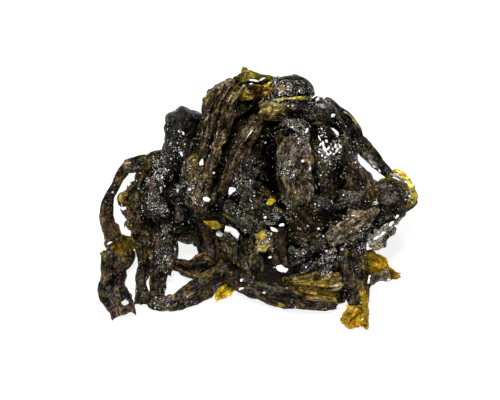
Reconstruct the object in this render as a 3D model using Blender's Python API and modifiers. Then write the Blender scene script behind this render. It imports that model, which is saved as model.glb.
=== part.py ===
"""Salted wakame: a tangled clump of rolled and folded fronds, as one solid out to its uneven
outline. Metres, +Z up, the front towards -Y, the origin under the middle of the clump's box.
The shape is drawn in millimetres and scaled down once its pieces lie together."""

import math
import random
from typing import NamedTuple

import bmesh
import bpy
from mathutils import Quaternion, Vector

CLUMP = "wakame_clump"
MM = 0.001

# Driving dimensions, in millimetres
FRONT = 50.4               # from the origin forward to the line that depths count from
SIGHT = math.radians(45)   # rise of the line of sight that the gaps run along
GRAIN = 1.2                # finest detail of the solid
FACES = 6600               # triangles that the solid is brought down to
SEED = 23


class Mass(NamedTuple):
    """An ellipsoid of the heap: its middle and its radii."""
    across: float
    depth: float
    height: float
    wide: float
    deep: float
    high: float


MASSES = (
    Mass(4.0, 59.0, 6.0, 36.0, 37.0, 46.0),       # middle
    Mass(-28.3, 73.0, 11.0, 10.4, 19.0, 32.4),    # left shoulder
    Mass(-36.0, 55.0, 6.0, 9.5, 15.0, 20.0),      # left flank
    Mass(23.0, 68.0, 9.0, 14.5, 25.0, 39.0),      # right shoulder
    Mass(8.0, 35.0, 4.0, 29.0, 16.0, 25.0),       # front slope
    Mass(0.0, 75.0, 2.0, 36.0, 18.0, 36.0),       # back slope
    Mass(-10.5, 74.0, 40.0, 11.0, 14.0, 15.5),    # fold at the upper left
    Mass(12.0, 76.0, 47.0, 9.5, 10.0, 9.5),       # curled lobe at the upper right
    Mass(2.0, 80.0, 37.0, 9.0, 9.0, 11.5),        # saddle between the two
    Mass(48.2, 51.0, 16.5, 12.0, 13.0, 6.5),      # leaf that stands out to the right
    Mass(35.0, 50.0, 14.0, 13.0, 17.0, 16.0),     # root of that leaf
)
MASS_SEGMENTS, MASS_RINGS = 36, 24
HEAP_HEART = Vector((0.0, 10.0, 14.0))     # the point that the chance places lie around
HEAP_REACH = 70.0                          # a length that leads out of the heap
SKIN_ROUNDS = 6                            # tries that bring a point to the skin

# The rolled fronds that wrap the heap
FOLD_COUNT = 46
FOLD_RADII = (2.2, 3.8)
FOLD_END = 0.55            # radius at the ends, as a share of the radius in the middle
FOLD_LENGTHS = (38.0, 78.0)
FOLD_STEP = 4.0            # between the points of a route
FOLD_POINTS_MIN = 4
FOLD_BEND = 0.09           # turn to the side at each step, in radians
FOLD_RISES = (0.1, 1.25)   # rise of the first place as seen from the heart, in radians
FOLD_LOWEST = 2.0
FOLD_SINK = 0.25           # how deep a route lies in the heap, as a share of the radius

# The fronds that trail from the sides and the back onto the table
TRAIL_COUNT = 8
TRAIL_FROM, TRAIL_TO = math.radians(-5), math.radians(188)     # directions, from +X
TRAIL_SWING = 0.22                                             # turn between two points
TRAIL_WIDTHS = (6.0, 9.0)
TRAIL_TAPER = 0.12                                             # of the width, at each point
TRAIL_HEIGHTS = (34.0, 24.0, 13.0, 4.0)
TRAIL_FEET = (5.0, 9.0)                                        # length that lies on the table
FOOT_HEIGHT = 1.6


class Frond(NamedTuple):
    """A loose frond: its widths at both ends, its lean about its own length in degrees, and
    its route. A place on the route is (across, up, height): across and up lie on a plane at
    right angles to the line of sight, and height is above the table."""
    first_width: float
    last_width: float
    lean: float
    route: tuple


FROND_THICKNESS = 0.42     # as a share of the width
CURVE_STEPS = 4            # between two points of a route
FRONDS = {
    "left_arch": Frond(5.8, 5.2, 0, (
        (-36, 63.5, 22), (-45, 63.3, 21), (-50.4, 61.4, 18.5), (-53.9, 56.5, 15),
        (-56.5, 50.5, 11), (-57.6, 44.5, 8), (-57.3, 39, 6), (-54.6, 31, 4.5))),
    "left_blade": Frond(12.5, 10.5, 0, (
        (-51.5, 36, 7), (-52.8, 28, 4), (-55, 19.5, 2.6), (-54.4, 12, 2.2),
        (-51.8, 6.6, 1.9))),
    "outer_strand": Frond(6.5, 5.0, 0, (
        (-41, 39, 12), (-44, 32, 7), (-43.4, 24, 3.5), (-43.6, 16, 2.2), (-43, 10.6, 1.8))),
    "inner_strand": Frond(9.5, 8.0, 0, (
        (-35, 46, 19), (-37.2, 36, 11), (-37, 26, 5), (-37.4, 18, 3), (-36.6, 11, 2.2))),
    "bottom_left_strap": Frond(8.0, 13.5, -8, (
        (-43, 10.4, 1.8), (-34, 9.8, 2.2), (-26.5, 12.6, 3.2), (-18, 17, 4.6),
        (-8, 20, 6.5), (0, 23, 9))),
    "strand_between_gaps": Frond(4.6, 5.0, 0, (
        (-36, 25.2, 4.5), (-29.5, 24.2, 5), (-23.5, 22, 6), (-17, 23, 8))),
    "bottom_right_strap": Frond(12.0, 7.5, -14, (
        (-13, 19.6, 5.5), (-4, 15.8, 4), (7, 13.2, 3.2), (18, 11, 2.6), (29.5, 9.6, 2.2))),
    "bottom_leaf": Frond(10.0, 13.0, -35, (
        (8, 18.4, 8), (16, 16.8, 7.5), (24, 16.2, 6.5), (31, 16.6, 6))),
    "right_band": Frond(8.5, 7.5, -40, (
        (-1, 83.5, 51), (12, 84, 50), (23, 84.2, 46), (31, 81.5, 40), (36.5, 76.5, 34))),
    "right_strap": Frond(8.0, 6.0, -30, (
        (32.6, 79.4, 38), (37.4, 73, 32), (43.2, 66.2, 27), (49, 61, 23), (54.5, 56, 18))),
    "lower_right_strap": Frond(10.0, 9.4, 0, (
        (36, 36, 17), (36.5, 27, 11), (37, 18.5, 6), (37.6, 11, 3), (37.4, 2.6, 1.9))),
    "spread_tip": Frond(9.0, 8.5, 0, (
        (40, 8, 2.4), (36.4, 4.8, 1.9), (33, 4.4, 1.6))),
    "right_flare": Frond(17.0, 4.0, -10, (
        (38, 29, 10), (43.5, 25, 6), (48.5, 22.2, 3.4), (53.2, 20.4, 2))),
    "right_fringe": Frond(10.0, 6.0, 0, (
        (38, 36, 16), (43.5, 36, 14), (48, 38.5, 13))),
    "top_tip": Frond(8.0, 5.0, -70, (
        (-11, 91.5, 51), (-6.8, 95.4, 55.5), (-2.5, 95.8, 56), (4, 94.4, 55))),
    "left_lobe": Frond(14.0, 7.5, -20, (
        (-38, 50, 18), (-44, 49.8, 16), (-49, 49.6, 14.5))),
    "lower_left_lobe": Frond(11.0, 7.0, -20, (
        (-38, 42, 14), (-43.5, 41.4, 12), (-48, 41.4, 10.5))),
}

# Gaps through which the table shows: the corners of each, across and up
GAPS = (
    ((-32.0, 32.6), (-24.6, 32.6), (-22.6, 29.2), (-27.0, 25.6), (-32.0, 26.6)),
    ((-32.4, 22.8), (-25.2, 18.4), (-30.4, 12.0), (-34.8, 16.4)),
)
GAP_START = -3.0           # how far before the table a gap's cutter starts
GAP_LENGTH = 90.0          # how far it runs along the line of sight
TABLE_SIZE = Vector((300.0, 300.0, 80.0))


def clear_scene():
    for old in list(bpy.data.objects):
        bpy.data.objects.remove(old, do_unlink=True)


def collection(name):
    group = bpy.data.collections.new(name)
    bpy.context.scene.collection.children.link(group)
    return group


def seen_at(across, up, height):
    """The point at a height that the line of sight through a place on the plane meets."""
    depth = (up - height * math.cos(SIGHT)) / math.sin(SIGHT)
    return Vector((across, depth - FRONT, height))


def evaluated_mesh(holder):
    graph = bpy.context.evaluated_depsgraph_get()
    return bpy.data.meshes.new_from_object(holder.evaluated_get(graph))


# The heap

def middle_of(mass):
    return Vector((mass.across, mass.depth - FRONT, mass.height))


def radii_of(mass):
    return Vector((mass.wide, mass.deep, mass.high))


def heap_shape():
    """The masses of the heap, overlapping, as one mesh."""
    heap = bmesh.new()
    for mass in MASSES:
        ball = bmesh.ops.create_uvsphere(
            heap, u_segments=MASS_SEGMENTS, v_segments=MASS_RINGS, radius=1.0)
        bmesh.ops.scale(heap, vec=radii_of(mass), verts=ball["verts"])
        bmesh.ops.translate(heap, vec=middle_of(mass), verts=ball["verts"])
    return heap


def share_out(place, mass):
    """How far out of a mass a point lies: one is its skin, and less is inside."""
    away = place - middle_of(mass)
    return Vector((away.x / mass.wide, away.y / mass.deep, away.z / mass.high)).length


def on_heap(place):
    """The point of the heap's skin near a place, and the direction straight out of it."""
    for _ in range(SKIN_ROUNDS):
        mass = min(MASSES, key=lambda item: share_out(place, item))
        away = (place - middle_of(mass)) / share_out(place, mass)
        place = middle_of(mass) + away
    outward = Vector((away.x / mass.wide ** 2, away.y / mass.deep ** 2,
                      away.z / mass.high ** 2))
    return place, outward.normalized()


# The fronds

def frond_section():
    """A flat oval one millimetre wide, as the bevel object of the flattened fronds."""
    curve = bpy.data.curves.new("frond_section", "CURVE")
    curve.dimensions = "2D"
    curve.resolution_u = 3
    spline = curve.splines.new("BEZIER")
    spline.bezier_points.add(3)
    spline.use_cyclic_u = True
    for quarter, knot in enumerate(spline.bezier_points):
        turn = quarter * math.pi / 2.0
        knot.co = (0.5 * math.cos(turn), 0.5 * FROND_THICKNESS * math.sin(turn), 0.0)
        knot.handle_left_type = "AUTO"
        knot.handle_right_type = "AUTO"
    section = bpy.data.objects.new("frond_section", curve)
    bpy.context.scene.collection.objects.link(section)
    return section


def frond_curve():
    curve = bpy.data.curves.new("frond", "CURVE")
    curve.dimensions = "3D"
    curve.resolution_u = CURVE_STEPS
    curve.twist_mode = "Z_UP"
    curve.use_fill_caps = True
    return curve


def add_frond(target, curve, points, radii, lean=0.0):
    """Sweeps a curve's section through points and adds the solid to a bmesh."""
    spline = curve.splines.new("BEZIER")
    spline.bezier_points.add(len(points) - 1)
    for knot, point, radius in zip(spline.bezier_points, points, radii):
        knot.co = point
        knot.radius = radius
        knot.tilt = lean
        knot.handle_left_type = "AUTO"
        knot.handle_right_type = "AUTO"
    holder = bpy.data.objects.new("frond", curve)
    bpy.context.scene.collection.objects.link(holder)
    mesh = evaluated_mesh(holder)
    bpy.data.objects.remove(holder)
    target.from_mesh(mesh)
    bpy.data.meshes.remove(mesh)


def add_flat_frond(target, section, points, widths, lean=0.0):
    curve = frond_curve()
    curve.bevel_mode = "OBJECT"
    curve.bevel_object = section
    add_frond(target, curve, points, widths, lean)


def add_rolled_frond(target, radius, points):
    """A round frond that is thinner towards both ends."""
    curve = frond_curve()
    curve.bevel_depth = radius
    curve.bevel_resolution = 2
    last = len(points) - 1
    swell = [FOLD_END + (1.0 - FOLD_END) * math.sin(math.pi * step / last)
             for step in range(last + 1)]
    add_frond(target, curve, points, swell)


def wrapped_route(chance):
    """A route over the heap's skin from a chance place, as points and directions out."""
    turn = chance.uniform(0.0, 2.0 * math.pi)
    rise = chance.uniform(*FOLD_RISES)
    aim = Vector((math.cos(turn) * math.cos(rise), math.sin(turn) * math.cos(rise),
                  math.sin(rise)))
    spot, outward = on_heap(HEAP_HEART + aim * HEAP_REACH)
    heading = Vector((-math.sin(turn), math.cos(turn), 0.0))
    heading.rotate(Quaternion(outward, chance.uniform(-math.pi, math.pi)))
    bend = chance.uniform(-FOLD_BEND, FOLD_BEND)
    steps = int(chance.uniform(*FOLD_LENGTHS) / FOLD_STEP)
    route = []
    for _ in range(steps):
        route.append((spot, outward))
        heading = (heading - outward * heading.dot(outward)).normalized()
        heading = (heading + outward.cross(heading) * bend).normalized()
        spot, outward = on_heap(spot + heading * FOLD_STEP)
        if spot.z < FOLD_LOWEST:
            break
    return route


def add_wrapped_fronds(target):
    """Rolled fronds wrapped over the heap in all directions, half sunk in it."""
    chance = random.Random(SEED)
    for _ in range(FOLD_COUNT):
        radius = chance.uniform(*FOLD_RADII)
        route = wrapped_route(chance)
        if len(route) < FOLD_POINTS_MIN:
            continue
        points = [spot - outward * radius * FOLD_SINK for spot, outward in route]
        add_rolled_frond(target, radius, points)


def trailing_route(turn, chance):
    """Down the heap in a direction that swings a little, and out onto the table."""
    swing = chance.uniform(-TRAIL_SWING, TRAIL_SWING)
    points = []
    for height in TRAIL_HEIGHTS:
        aim = Vector((math.cos(turn), math.sin(turn), 0.0))
        start = Vector((HEAP_HEART.x, HEAP_HEART.y, height))
        points.append(on_heap(start + aim * HEAP_REACH)[0])
        turn += swing
    points[-1].z = FOOT_HEIGHT
    aim = Vector((math.cos(turn + swing), math.sin(turn + swing), 0.0))
    points.append(points[-1] + aim * chance.uniform(*TRAIL_FEET))
    return points


def add_trailing_fronds(target, section):
    chance = random.Random(SEED)
    for step in range(TRAIL_COUNT):
        turn = TRAIL_FROM + (TRAIL_TO - TRAIL_FROM) * step / (TRAIL_COUNT - 1)
        points = trailing_route(turn, chance)
        width = chance.uniform(*TRAIL_WIDTHS)
        widths = [width * (1.0 - TRAIL_TAPER * place) for place in range(len(points))]
        add_flat_frond(target, section, points, widths)


def add_loose_fronds(target, section):
    """The fronds that hang off the heap and give the clump its outline."""
    for frond in FRONDS.values():
        points = [seen_at(*place) for place in frond.route]
        last = len(points) - 1
        growth = (frond.last_width - frond.first_width) / last
        widths = [frond.first_width + growth * place for place in range(last + 1)]
        add_flat_frond(target, section, points, widths, math.radians(frond.lean))


# Cutting and joining

def add_cutter(name, shape, group):
    bmesh.ops.scale(shape, vec=Vector((MM, MM, MM)), verts=shape.verts[:])
    mesh = bpy.data.meshes.new(name)
    shape.to_mesh(mesh)
    shape.free()
    tool = bpy.data.objects.new(name, mesh)
    tool.hide_render = True
    tool.display_type = "WIRE"
    group.objects.link(tool)
    return tool


def gap_cutter(name, corners, group):
    """A prism on a gap's outline that runs along the line of sight."""
    shape = bmesh.new()
    sight = Vector((0.0, -math.cos(SIGHT), math.sin(SIGHT)))
    loop = [shape.verts.new(seen_at(across, up, 0.0) + sight * GAP_START)
            for across, up in corners]
    pulled = bmesh.ops.extrude_face_region(shape, geom=[shape.faces.new(loop)])
    far = [item for item in pulled["geom"] if isinstance(item, bmesh.types.BMVert)]
    bmesh.ops.translate(shape, vec=sight * GAP_LENGTH, verts=far)
    bmesh.ops.recalc_face_normals(shape, faces=shape.faces[:])
    return add_cutter(name, shape, group)


def table_cutter(group):
    """The block below the table's top, which leaves the clump a flat underside."""
    shape = bmesh.new()
    bmesh.ops.create_cube(shape, size=1.0)
    bmesh.ops.scale(shape, vec=TABLE_SIZE, verts=shape.verts[:])
    bmesh.ops.translate(
        shape, vec=Vector((0.0, 0.0, -TABLE_SIZE.z / 2.0)), verts=shape.verts[:])
    return add_cutter("table_cutter", shape, group)


def cut_by(holder, tool):
    cut = holder.modifiers.new(tool.name, "BOOLEAN")
    cut.operation = "DIFFERENCE"
    cut.object = tool


def apply_modifiers(holder):
    mesh = evaluated_mesh(holder)
    holder.modifiers.clear()
    holder.data = mesh


def shells_of(shape):
    """The vertices of each connected shell of a bmesh, the largest shell last."""
    left = set(shape.verts)
    shells = []
    for start in shape.verts:
        if start not in left:
            continue
        left.discard(start)
        shell = [start]
        for vert in shell:
            for edge in vert.link_edges:
                other = edge.other_vert(vert)
                if other in left:
                    left.discard(other)
                    shell.append(other)
        shells.append(shell)
    return sorted(shells, key=len)


def keep_largest(holder):
    """Drops the crumbs and the sealed hollows that joining and cutting leave."""
    shape = bmesh.new()
    shape.from_mesh(holder.data)
    for shell in shells_of(shape)[:-1]:
        bmesh.ops.delete(shape, geom=shell, context="VERTS")
    shape.to_mesh(holder.data)
    shape.free()


def stand_on_origin(holder):
    """Moves the mesh so that its box stands on the table over the origin."""
    places = [vert.co for vert in holder.data.vertices]
    low = Vector([min(place[axis] for place in places) for axis in range(3)])
    high = Vector([max(place[axis] for place in places) for axis in range(3)])
    shift = Vector((-(low.x + high.x) / 2.0, -(low.y + high.y) / 2.0, -low.z))
    for vert in holder.data.vertices:
        vert.co += shift


def wakame_material():
    material = bpy.data.materials.new("wakame")
    material.use_nodes = True
    shader = material.node_tree.nodes["Principled BSDF"]
    shader.inputs["Base Color"].default_value = (0.045, 0.04, 0.026, 1.0)
    shader.inputs["Roughness"].default_value = 0.5
    shader.inputs["Metallic"].default_value = 0.0
    return material


def joined_pieces():
    """The heap and its fronds, still as separate overlapping shells, in metres."""
    shape = heap_shape()
    section = frond_section()
    add_wrapped_fronds(shape)
    add_trailing_fronds(shape, section)
    add_loose_fronds(shape, section)
    bpy.data.objects.remove(section)
    bmesh.ops.remove_doubles(shape, verts=shape.verts[:], dist=0.0001)
    bmesh.ops.scale(shape, vec=Vector((MM, MM, MM)), verts=shape.verts[:])
    mesh = bpy.data.meshes.new(CLUMP)
    shape.to_mesh(mesh)
    shape.free()
    return mesh


def main():
    clear_scene()
    parts = collection("salted wakame")
    tools = collection("cutters")
    clump = bpy.data.objects.new(CLUMP, joined_pieces())
    parts.objects.link(clump)

    fused = clump.modifiers.new("fused", "REMESH")
    fused.mode = "VOXEL"
    fused.voxel_size = GRAIN * MM
    apply_modifiers(clump)
    keep_largest(clump)

    for index, corners in enumerate(GAPS):
        cut_by(clump, gap_cutter("gap_cutter_%d" % index, corners, tools))
    coarser = clump.modifiers.new("coarser", "DECIMATE")
    coarser.ratio = FACES / (2.0 * len(clump.data.polygons))
    cut_by(clump, table_cutter(tools))
    apply_modifiers(clump)
    keep_largest(clump)
    stand_on_origin(clump)
    clump.data.materials.clear()
    clump.data.materials.append(wakame_material())
    clump.data.shade_smooth()


main()
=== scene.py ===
"""Salted wakame: the looks of one tangled clump of salted fronds, built around its CAD solid.

A core with the heap's bulges carries fronds of several kinds. Each is a closed thin sheet swept along
a route: the ones that show in the photograph are placed one by one, and the rest wander over the heap
from seeded starts. Salt of three sizes lies on top. Lengths are in millimetres until a mesh is made.
A place is given as it is seen along the 45 degree line of sight: across to the right, up in the
picture, and then either a lift towards the viewer or a height over the floor."""

import functools
import itertools
import math
from typing import NamedTuple

import bmesh
import bpy
import numpy as np
from mathutils import Matrix, Vector
from mathutils.bvhtree import BVHTree


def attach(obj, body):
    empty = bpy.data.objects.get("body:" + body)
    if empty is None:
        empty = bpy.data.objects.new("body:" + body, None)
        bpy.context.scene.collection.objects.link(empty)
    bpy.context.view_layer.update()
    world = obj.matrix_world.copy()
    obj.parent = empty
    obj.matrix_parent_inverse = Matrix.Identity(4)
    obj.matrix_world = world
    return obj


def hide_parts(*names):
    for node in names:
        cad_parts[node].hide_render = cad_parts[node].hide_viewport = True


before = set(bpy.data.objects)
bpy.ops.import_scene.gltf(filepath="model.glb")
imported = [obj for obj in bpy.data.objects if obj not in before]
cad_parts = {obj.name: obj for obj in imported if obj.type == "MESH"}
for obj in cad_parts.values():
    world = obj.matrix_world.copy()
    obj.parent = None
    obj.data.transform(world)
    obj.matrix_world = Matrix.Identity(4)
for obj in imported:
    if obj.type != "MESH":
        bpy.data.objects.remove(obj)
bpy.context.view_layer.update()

NODE, BODY = "wakame_clump", "root"
MM = 0.001
ROOT2 = math.sqrt(2.0)
FRONT = 50.4                                   # from the origin forward to the line depths count from
VIEW = np.array((0.0, -1.0, 1.0)) / ROOT2      # from the clump towards the viewer
RISE = np.array((0.0, 1.0, 1.0)) / ROOT2       # upwards in the picture
SEED = 41

# The heap's bulges, the same as in the CAD solid: across, depth, height, then three radii
MASSES = np.array((
    (4.0, 59.0, 6.0, 36.0, 37.0, 46.0),
    (-28.3, 73.0, 11.0, 10.4, 19.0, 32.4),
    (-36.0, 55.0, 6.0, 9.5, 15.0, 20.0),
    (23.0, 68.0, 9.0, 14.5, 25.0, 39.0),
    (8.0, 35.0, 4.0, 29.0, 16.0, 25.0),
    (0.0, 75.0, 2.0, 36.0, 18.0, 36.0),
    (-10.5, 74.0, 40.0, 11.0, 14.0, 15.5),
    (12.0, 76.0, 47.0, 9.5, 10.0, 9.5),
    (2.0, 80.0, 37.0, 9.0, 9.0, 11.5),
    (48.2, 51.0, 16.5, 12.0, 13.0, 6.5),
    (35.0, 50.0, 14.0, 13.0, 17.0, 16.0),
))
MIDDLES = MASSES[:, :3] - (0.0, FRONT, 0.0)
RADII = MASSES[:, 3:]

# Hollows in the side that is seen: from, to, radius, depth
HOLLOWS = (
    (-5.0, 85.2, -1.6, 85.0, 3.2, 3.4),
    (-6.5, 83.0, -9.6, 80.0, 2.4, 3.6),
    (-10.4, 80.0, -12.6, 67.0, 2.0, 6.0),
    (3.8, 70.0, 5.0, 53.0, 4.0, 5.0),
    (20.8, 76.0, 20.6, 66.0, 1.8, 6.0),
    (6.2, 76.8, 8.6, 75.0, 2.8, 5.0),
    (30.4, 76.4, 34.0, 71.0, 2.4, 5.0),
    (-27.0, 38.0, -20.0, 36.5, 3.0, 4.0),
    (-15.0, 44.5, -16.0, 42.8, 2.4, 4.0),
    (-5.0, 31.0, -4.0, 26.0, 2.4, 4.0),
    (-23.4, 79.0, -24.8, 75.5, 1.3, 3.0),
)

# The heap's outline in the picture, which the fronds of the sides and the back keep within
OUTLINE = np.array((
    (-4.7, 98.9), (1.7, 96.3), (9.6, 96.3), (16, 94.8), (21.3, 88), (23.5, 87.3), (29.2, 85.4), (34.8, 80.9),
    (38.6, 77.1), (40.8, 70.7), (50.6, 60.2), (57.4, 55.7), (60, 51.9), (55.5, 44.4), (49.8, 34.6),
    (46.1, 31.6), (42, 29), (41, 16), (40.4, 1.9), (34, 1.9), (33, 10), (28.4, 7.5), (16, 7.9), (4.7, 9.4),
    (-6.6, 14.7), (-16, 11.3), (-27.3, 6.8), (-34.8, 7.1), (-54.4, 4.1), (-59.6, 12), (-60.4, 16.9),
    (-58.5, 35.7), (-60, 43.3), (-58.5, 49.7), (-51, 64), (-41.2, 65.8), (-37.4, 70.3), (-34, 81.6),
    (-29.2, 84.6), (-24.6, 82.8), (-22.8, 80.9), (-19.8, 88.4), (-16, 92.2), (-8.1, 95.2),
))

# Openings that show the floor, as corners in the picture, clockwise like the outline's
GAPS = (
    ((-31.2, 32.5), (-25.0, 32.3), (-23.2, 29.4), (-27.0, 25.7), (-31.2, 26.8)),
    ((-32.2, 22.8), (-25.4, 18.3), (-30.9, 11.9), (-34.4, 15.6)),
    ((26.2, 78.2), (28.3, 77.4), (31.2, 75.8), (32.0, 74.1), (30.5, 73.4), (28.0, 75.4)),
    ((38.8, 66.0), (40.6, 64.0), (42.6, 61.2), (45.4, 58.9), (47.8, 57.1), (45.0, 57.7),
     (42.6, 58.6), (40.8, 60.8), (38.6, 63.8), (37.8, 66.0)),
)


# Places and the heap's skin

def at(across, up, height):
    """The place that is seen there and stands at this height."""
    return np.array((across, up * ROOT2 - height - FRONT, height))


def seen(points):
    """Across and up in the picture, for an array of places."""
    return points[..., 0], (points[..., 1] + FRONT + points[..., 2]) / ROOT2


def hollow(across, up):
    """How deep the side that is seen lies back there."""
    deepest = np.zeros(np.shape(across))
    for x0, y0, x1, y1, radius, depth in HOLLOWS:
        run = np.array((x1 - x0, y1 - y0))
        share = ((across - x0) * run[0] + (up - y0) * run[1]) / (run @ run)
        share = np.clip(share, 0.0, 1.0)
        far = np.hypot(across - x0 - share * run[0], up - y0 - share * run[1]) / radius
        deepest = np.maximum(deepest, depth * np.exp(-far ** 3))
    return deepest


def skin_height(across, up):
    """Height at which the line of sight first meets the heap, or comes nearest to it."""
    depth = up * ROOT2 - FRONT - MIDDLES[:, 1]
    square = 1.0 / RADII[:, 1] ** 2 + 1.0 / RADII[:, 2] ** 2
    slope = depth / RADII[:, 1] ** 2 + MIDDLES[:, 2] / RADII[:, 2] ** 2
    rest = ((across - MIDDLES[:, 0]) / RADII[:, 0]) ** 2 + (depth / RADII[:, 1]) ** 2
    rest += (MIDDLES[:, 2] / RADII[:, 2]) ** 2 - 1.0
    room = slope ** 2 - square * rest
    if room.max() > 0.0:
        heights = (slope + np.sqrt(np.maximum(room, 0.0))) / square
        return max(heights[room > 0.0].max(), 1.0)
    nearest = (rest - slope ** 2 / square).argmin()
    return max((slope / square)[nearest], 1.0)


def on(across, up, lift=0.0):
    """The place on the heap that is seen there, lifted towards the viewer."""
    return at(across, up, skin_height(across, up)) + VIEW * (lift - hollow(across, up))


def drawn_in(corners, by):
    """An outline in the picture, smaller by this much all round."""
    corners = np.array(corners)
    ahead = np.roll(corners, -1, axis=0) - np.roll(corners, 1, axis=0)
    inward = by * np.stack((ahead[:, 1], -ahead[:, 0]), axis=1)
    return corners + inward / np.linalg.norm(ahead, axis=1, keepdims=True)


def within(points, corners):
    """Which places stand within an outline in the picture."""
    across, up = seen(points)
    inside = np.zeros(across.shape, dtype=bool)
    for (x0, y0), (x1, y1) in zip(corners, np.roll(corners, -1, axis=0)):
        spans = (y0 > up) != (y1 > up)
        inside ^= spans & (across < x0 + (up - y0) * (x1 - x0) / (y1 - y0 + 1e-9))
    return inside


def clear(points):
    """Which places stand within the heap's outline and off its openings."""
    open_to_floor = np.any([within(points, gap) for gap in GAPS], axis=0)
    return within(points, drawn_in(OUTLINE, 0.9)) & ~open_to_floor


def outward(points):
    """Smoothed directions out of the heap, and how far out each place is, 1 on the skin."""
    away = (points[:, None, :] - MIDDLES) / RADII
    share = np.linalg.norm(away, axis=2)
    slope = away / RADII
    slope /= np.linalg.norm(slope, axis=2, keepdims=True) + 1e-9
    weight = np.exp(-9.0 * (share - share.min(axis=1, keepdims=True)))
    mixed = (slope * weight[..., None]).sum(axis=1)
    return unit(mixed), share.min(axis=1)


def onto_heap(place):
    """The nearest place on the skin, by a few steps along the nearest bulge."""
    for _ in range(6):
        away = (place - MIDDLES) / RADII
        share = np.linalg.norm(away, axis=1)
        mass = share.argmin()
        place = MIDDLES[mass] + (place - MIDDLES[mass]) / share[mass]
    return place


def unit(vectors):
    return vectors / (np.linalg.norm(vectors, axis=-1, keepdims=True) + 1e-12)


def blended(first, second, share):
    return first * (1.0 - share) + second * share


# Noise

def noise(points, seed=0):
    """Smooth lattice noise from -1 to 1 for an array of places."""
    cell = np.floor(points)
    part = points - cell
    ease = part * part * part * (part * (part * 6.0 - 15.0) + 10.0)
    cell = cell.astype(np.int64)
    total = np.zeros(points.shape[:-1])
    for corner in itertools.product((0, 1), repeat=3):
        spot = cell + corner
        value = spot[..., 0] * 374761393 + spot[..., 1] * 668265263 + spot[..., 2] * 2147483647
        value = (value + seed * 974634777) & 0xFFFFFFFF
        value = ((value ^ (value >> 13)) * 1274126177) & 0xFFFFFFFF
        value = ((value ^ (value >> 16)) * 974634777) & 0xFFFFFFFF
        height = (value & 0xFFFFFF) / float(0x7FFFFF) - 1.0
        for axis in range(3):
            height = height * (ease[..., axis] if corner[axis] else 1.0 - ease[..., axis])
        total += height
    return total


def flat_noise(u, v, seed):
    """The same noise over two lengths."""
    u, v = np.broadcast_arrays(u, v)
    return noise(np.stack((u, v, np.full(u.shape, 0.37)), axis=-1), seed)


def crumple(u, v, seed):
    """Creases and dents of crushed wet leaf, about -1 to 1."""
    total = 0.8 * flat_noise(u / 9.0, v / 9.0, seed)
    total += 0.55 * (1.0 - 2.6 * np.abs(flat_noise(u / 5.2, v / 5.2, seed + 1)))
    total += 0.34 * (1.0 - 2.6 * np.abs(flat_noise(u / 2.7, v / 2.7, seed + 2)))
    total += 0.22 * (1.0 - 2.6 * np.abs(flat_noise(u / 1.4, v / 1.4, seed + 3)))
    return total


# Fronds

class Kind(NamedTuple):
    """How one kind of frond is shaped and coloured. Lengths in millimetres, turns in radians."""
    curl: float        # turn of the section over its whole width, away from the viewer
    rim: float         # further turn at each margin
    folds: float       # folds along the length, side by side
    fold: float        # turn of those folds
    ruffle: float      # how far the margins wave
    torn: float        # how much of the width the margins lose and gain
    crush: float       # height of the creases
    stretch: float     # creases are this much longer along the frond
    thick: float
    dark: tuple
    light: tuple
    margin: tuple      # colour of the margins
    margin_wide: float
    margin_thin: float
    thin: float        # how much light comes through the middle
    salt: float        # how dusty with salt


ROSE = (0.13, 0.085, 0.062)
GOLD = (0.64, 0.41, 0.020)
LEMON = (0.66, 0.52, 0.04)
OLIVE = (0.120, 0.090, 0.014)
WARM = np.array((1.03, 0.97, 0.89))      # laid over every frond's colour
STRAP = Kind(1.2, 0.8, 2.5, 0.45, 0.5, 0.10, 0.60, 2.2, 0.6,
             (0.004, 0.0028, 0.0022), (0.080, 0.061, 0.044), OLIVE, 0.9, 0.35, 0.0, 0.35)
FOLD = Kind(1.5, 0.6, 4.5, 0.80, 0.6, 0.10, 0.70, 3.5, 0.6,
            (0.004, 0.003, 0.0012), (0.166, 0.122, 0.064), OLIVE, 0.8, 0.25, 0.0, 0.35)
ROLL = Kind(4.0, 0.0, 3.0, 0.50, 0.2, 0.06, 0.80, 1.8, 0.7,
            (0.003, 0.0022, 0.0014), (0.058, 0.049, 0.036), OLIVE, 0.4, 0.10, 0.0, 0.80)
LEAF = Kind(0.9, 0.5, 3.0, 0.60, 1.2, 0.26, 1.10, 1.4, 0.5,
            (0.003, 0.0022, 0.0010), (0.100, 0.077, 0.036), OLIVE, 1.3, 0.45, 0.0, 0.40)
PALE = Kind(1.2, 0.5, 3.5, 0.60, 0.7, 0.16, 1.00, 1.8, 0.6,
            (0.012, 0.009, 0.005), (0.210, 0.165, 0.110), OLIVE, 0.9, 0.30, 0.0, 0.60)
FLARE = Kind(0.6, 0.4, 3.0, 0.60, 1.0, 0.24, 0.90, 1.4, 0.4,
             (0.160, 0.090, 0.004), (0.560, 0.370, 0.014), LEMON, 1.4, 0.90, 0.55, 0.15)
# SHADE is the darkest kind, laid where the heap is in shadow: its darkness is partly painted shade
SHADE = Kind(1.3, 0.6, 3.5, 0.70, 0.7, 0.16, 0.95, 1.8, 0.6,
             (0.002, 0.0016, 0.001), (0.040, 0.030, 0.017), OLIVE, 0.7, 0.20, 0.0, 0.35)
KNEE = FLARE._replace(dark=(0.014, 0.008, 0.002), light=(0.086, 0.053, 0.012), thin=0.2, salt=0.2, torn=0.1)
AMBERY = FLARE._replace(dark=(0.050, 0.031, 0.003), light=(0.240, 0.155, 0.010), thin=0.3, salt=0.2)
# EDGE makes thin strips over other fronds: some are painted highlights along lit ridges and rims, the rest
# are margins and streaks
EDGE = FLARE._replace(fold=0.2, torn=0.3, crush=0.3, dark=(0.09, 0.085, 0.05), light=(0.42, 0.40, 0.26),
                      margin=(0.34, 0.33, 0.14), margin_thin=0.5, thin=0.35)

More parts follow.
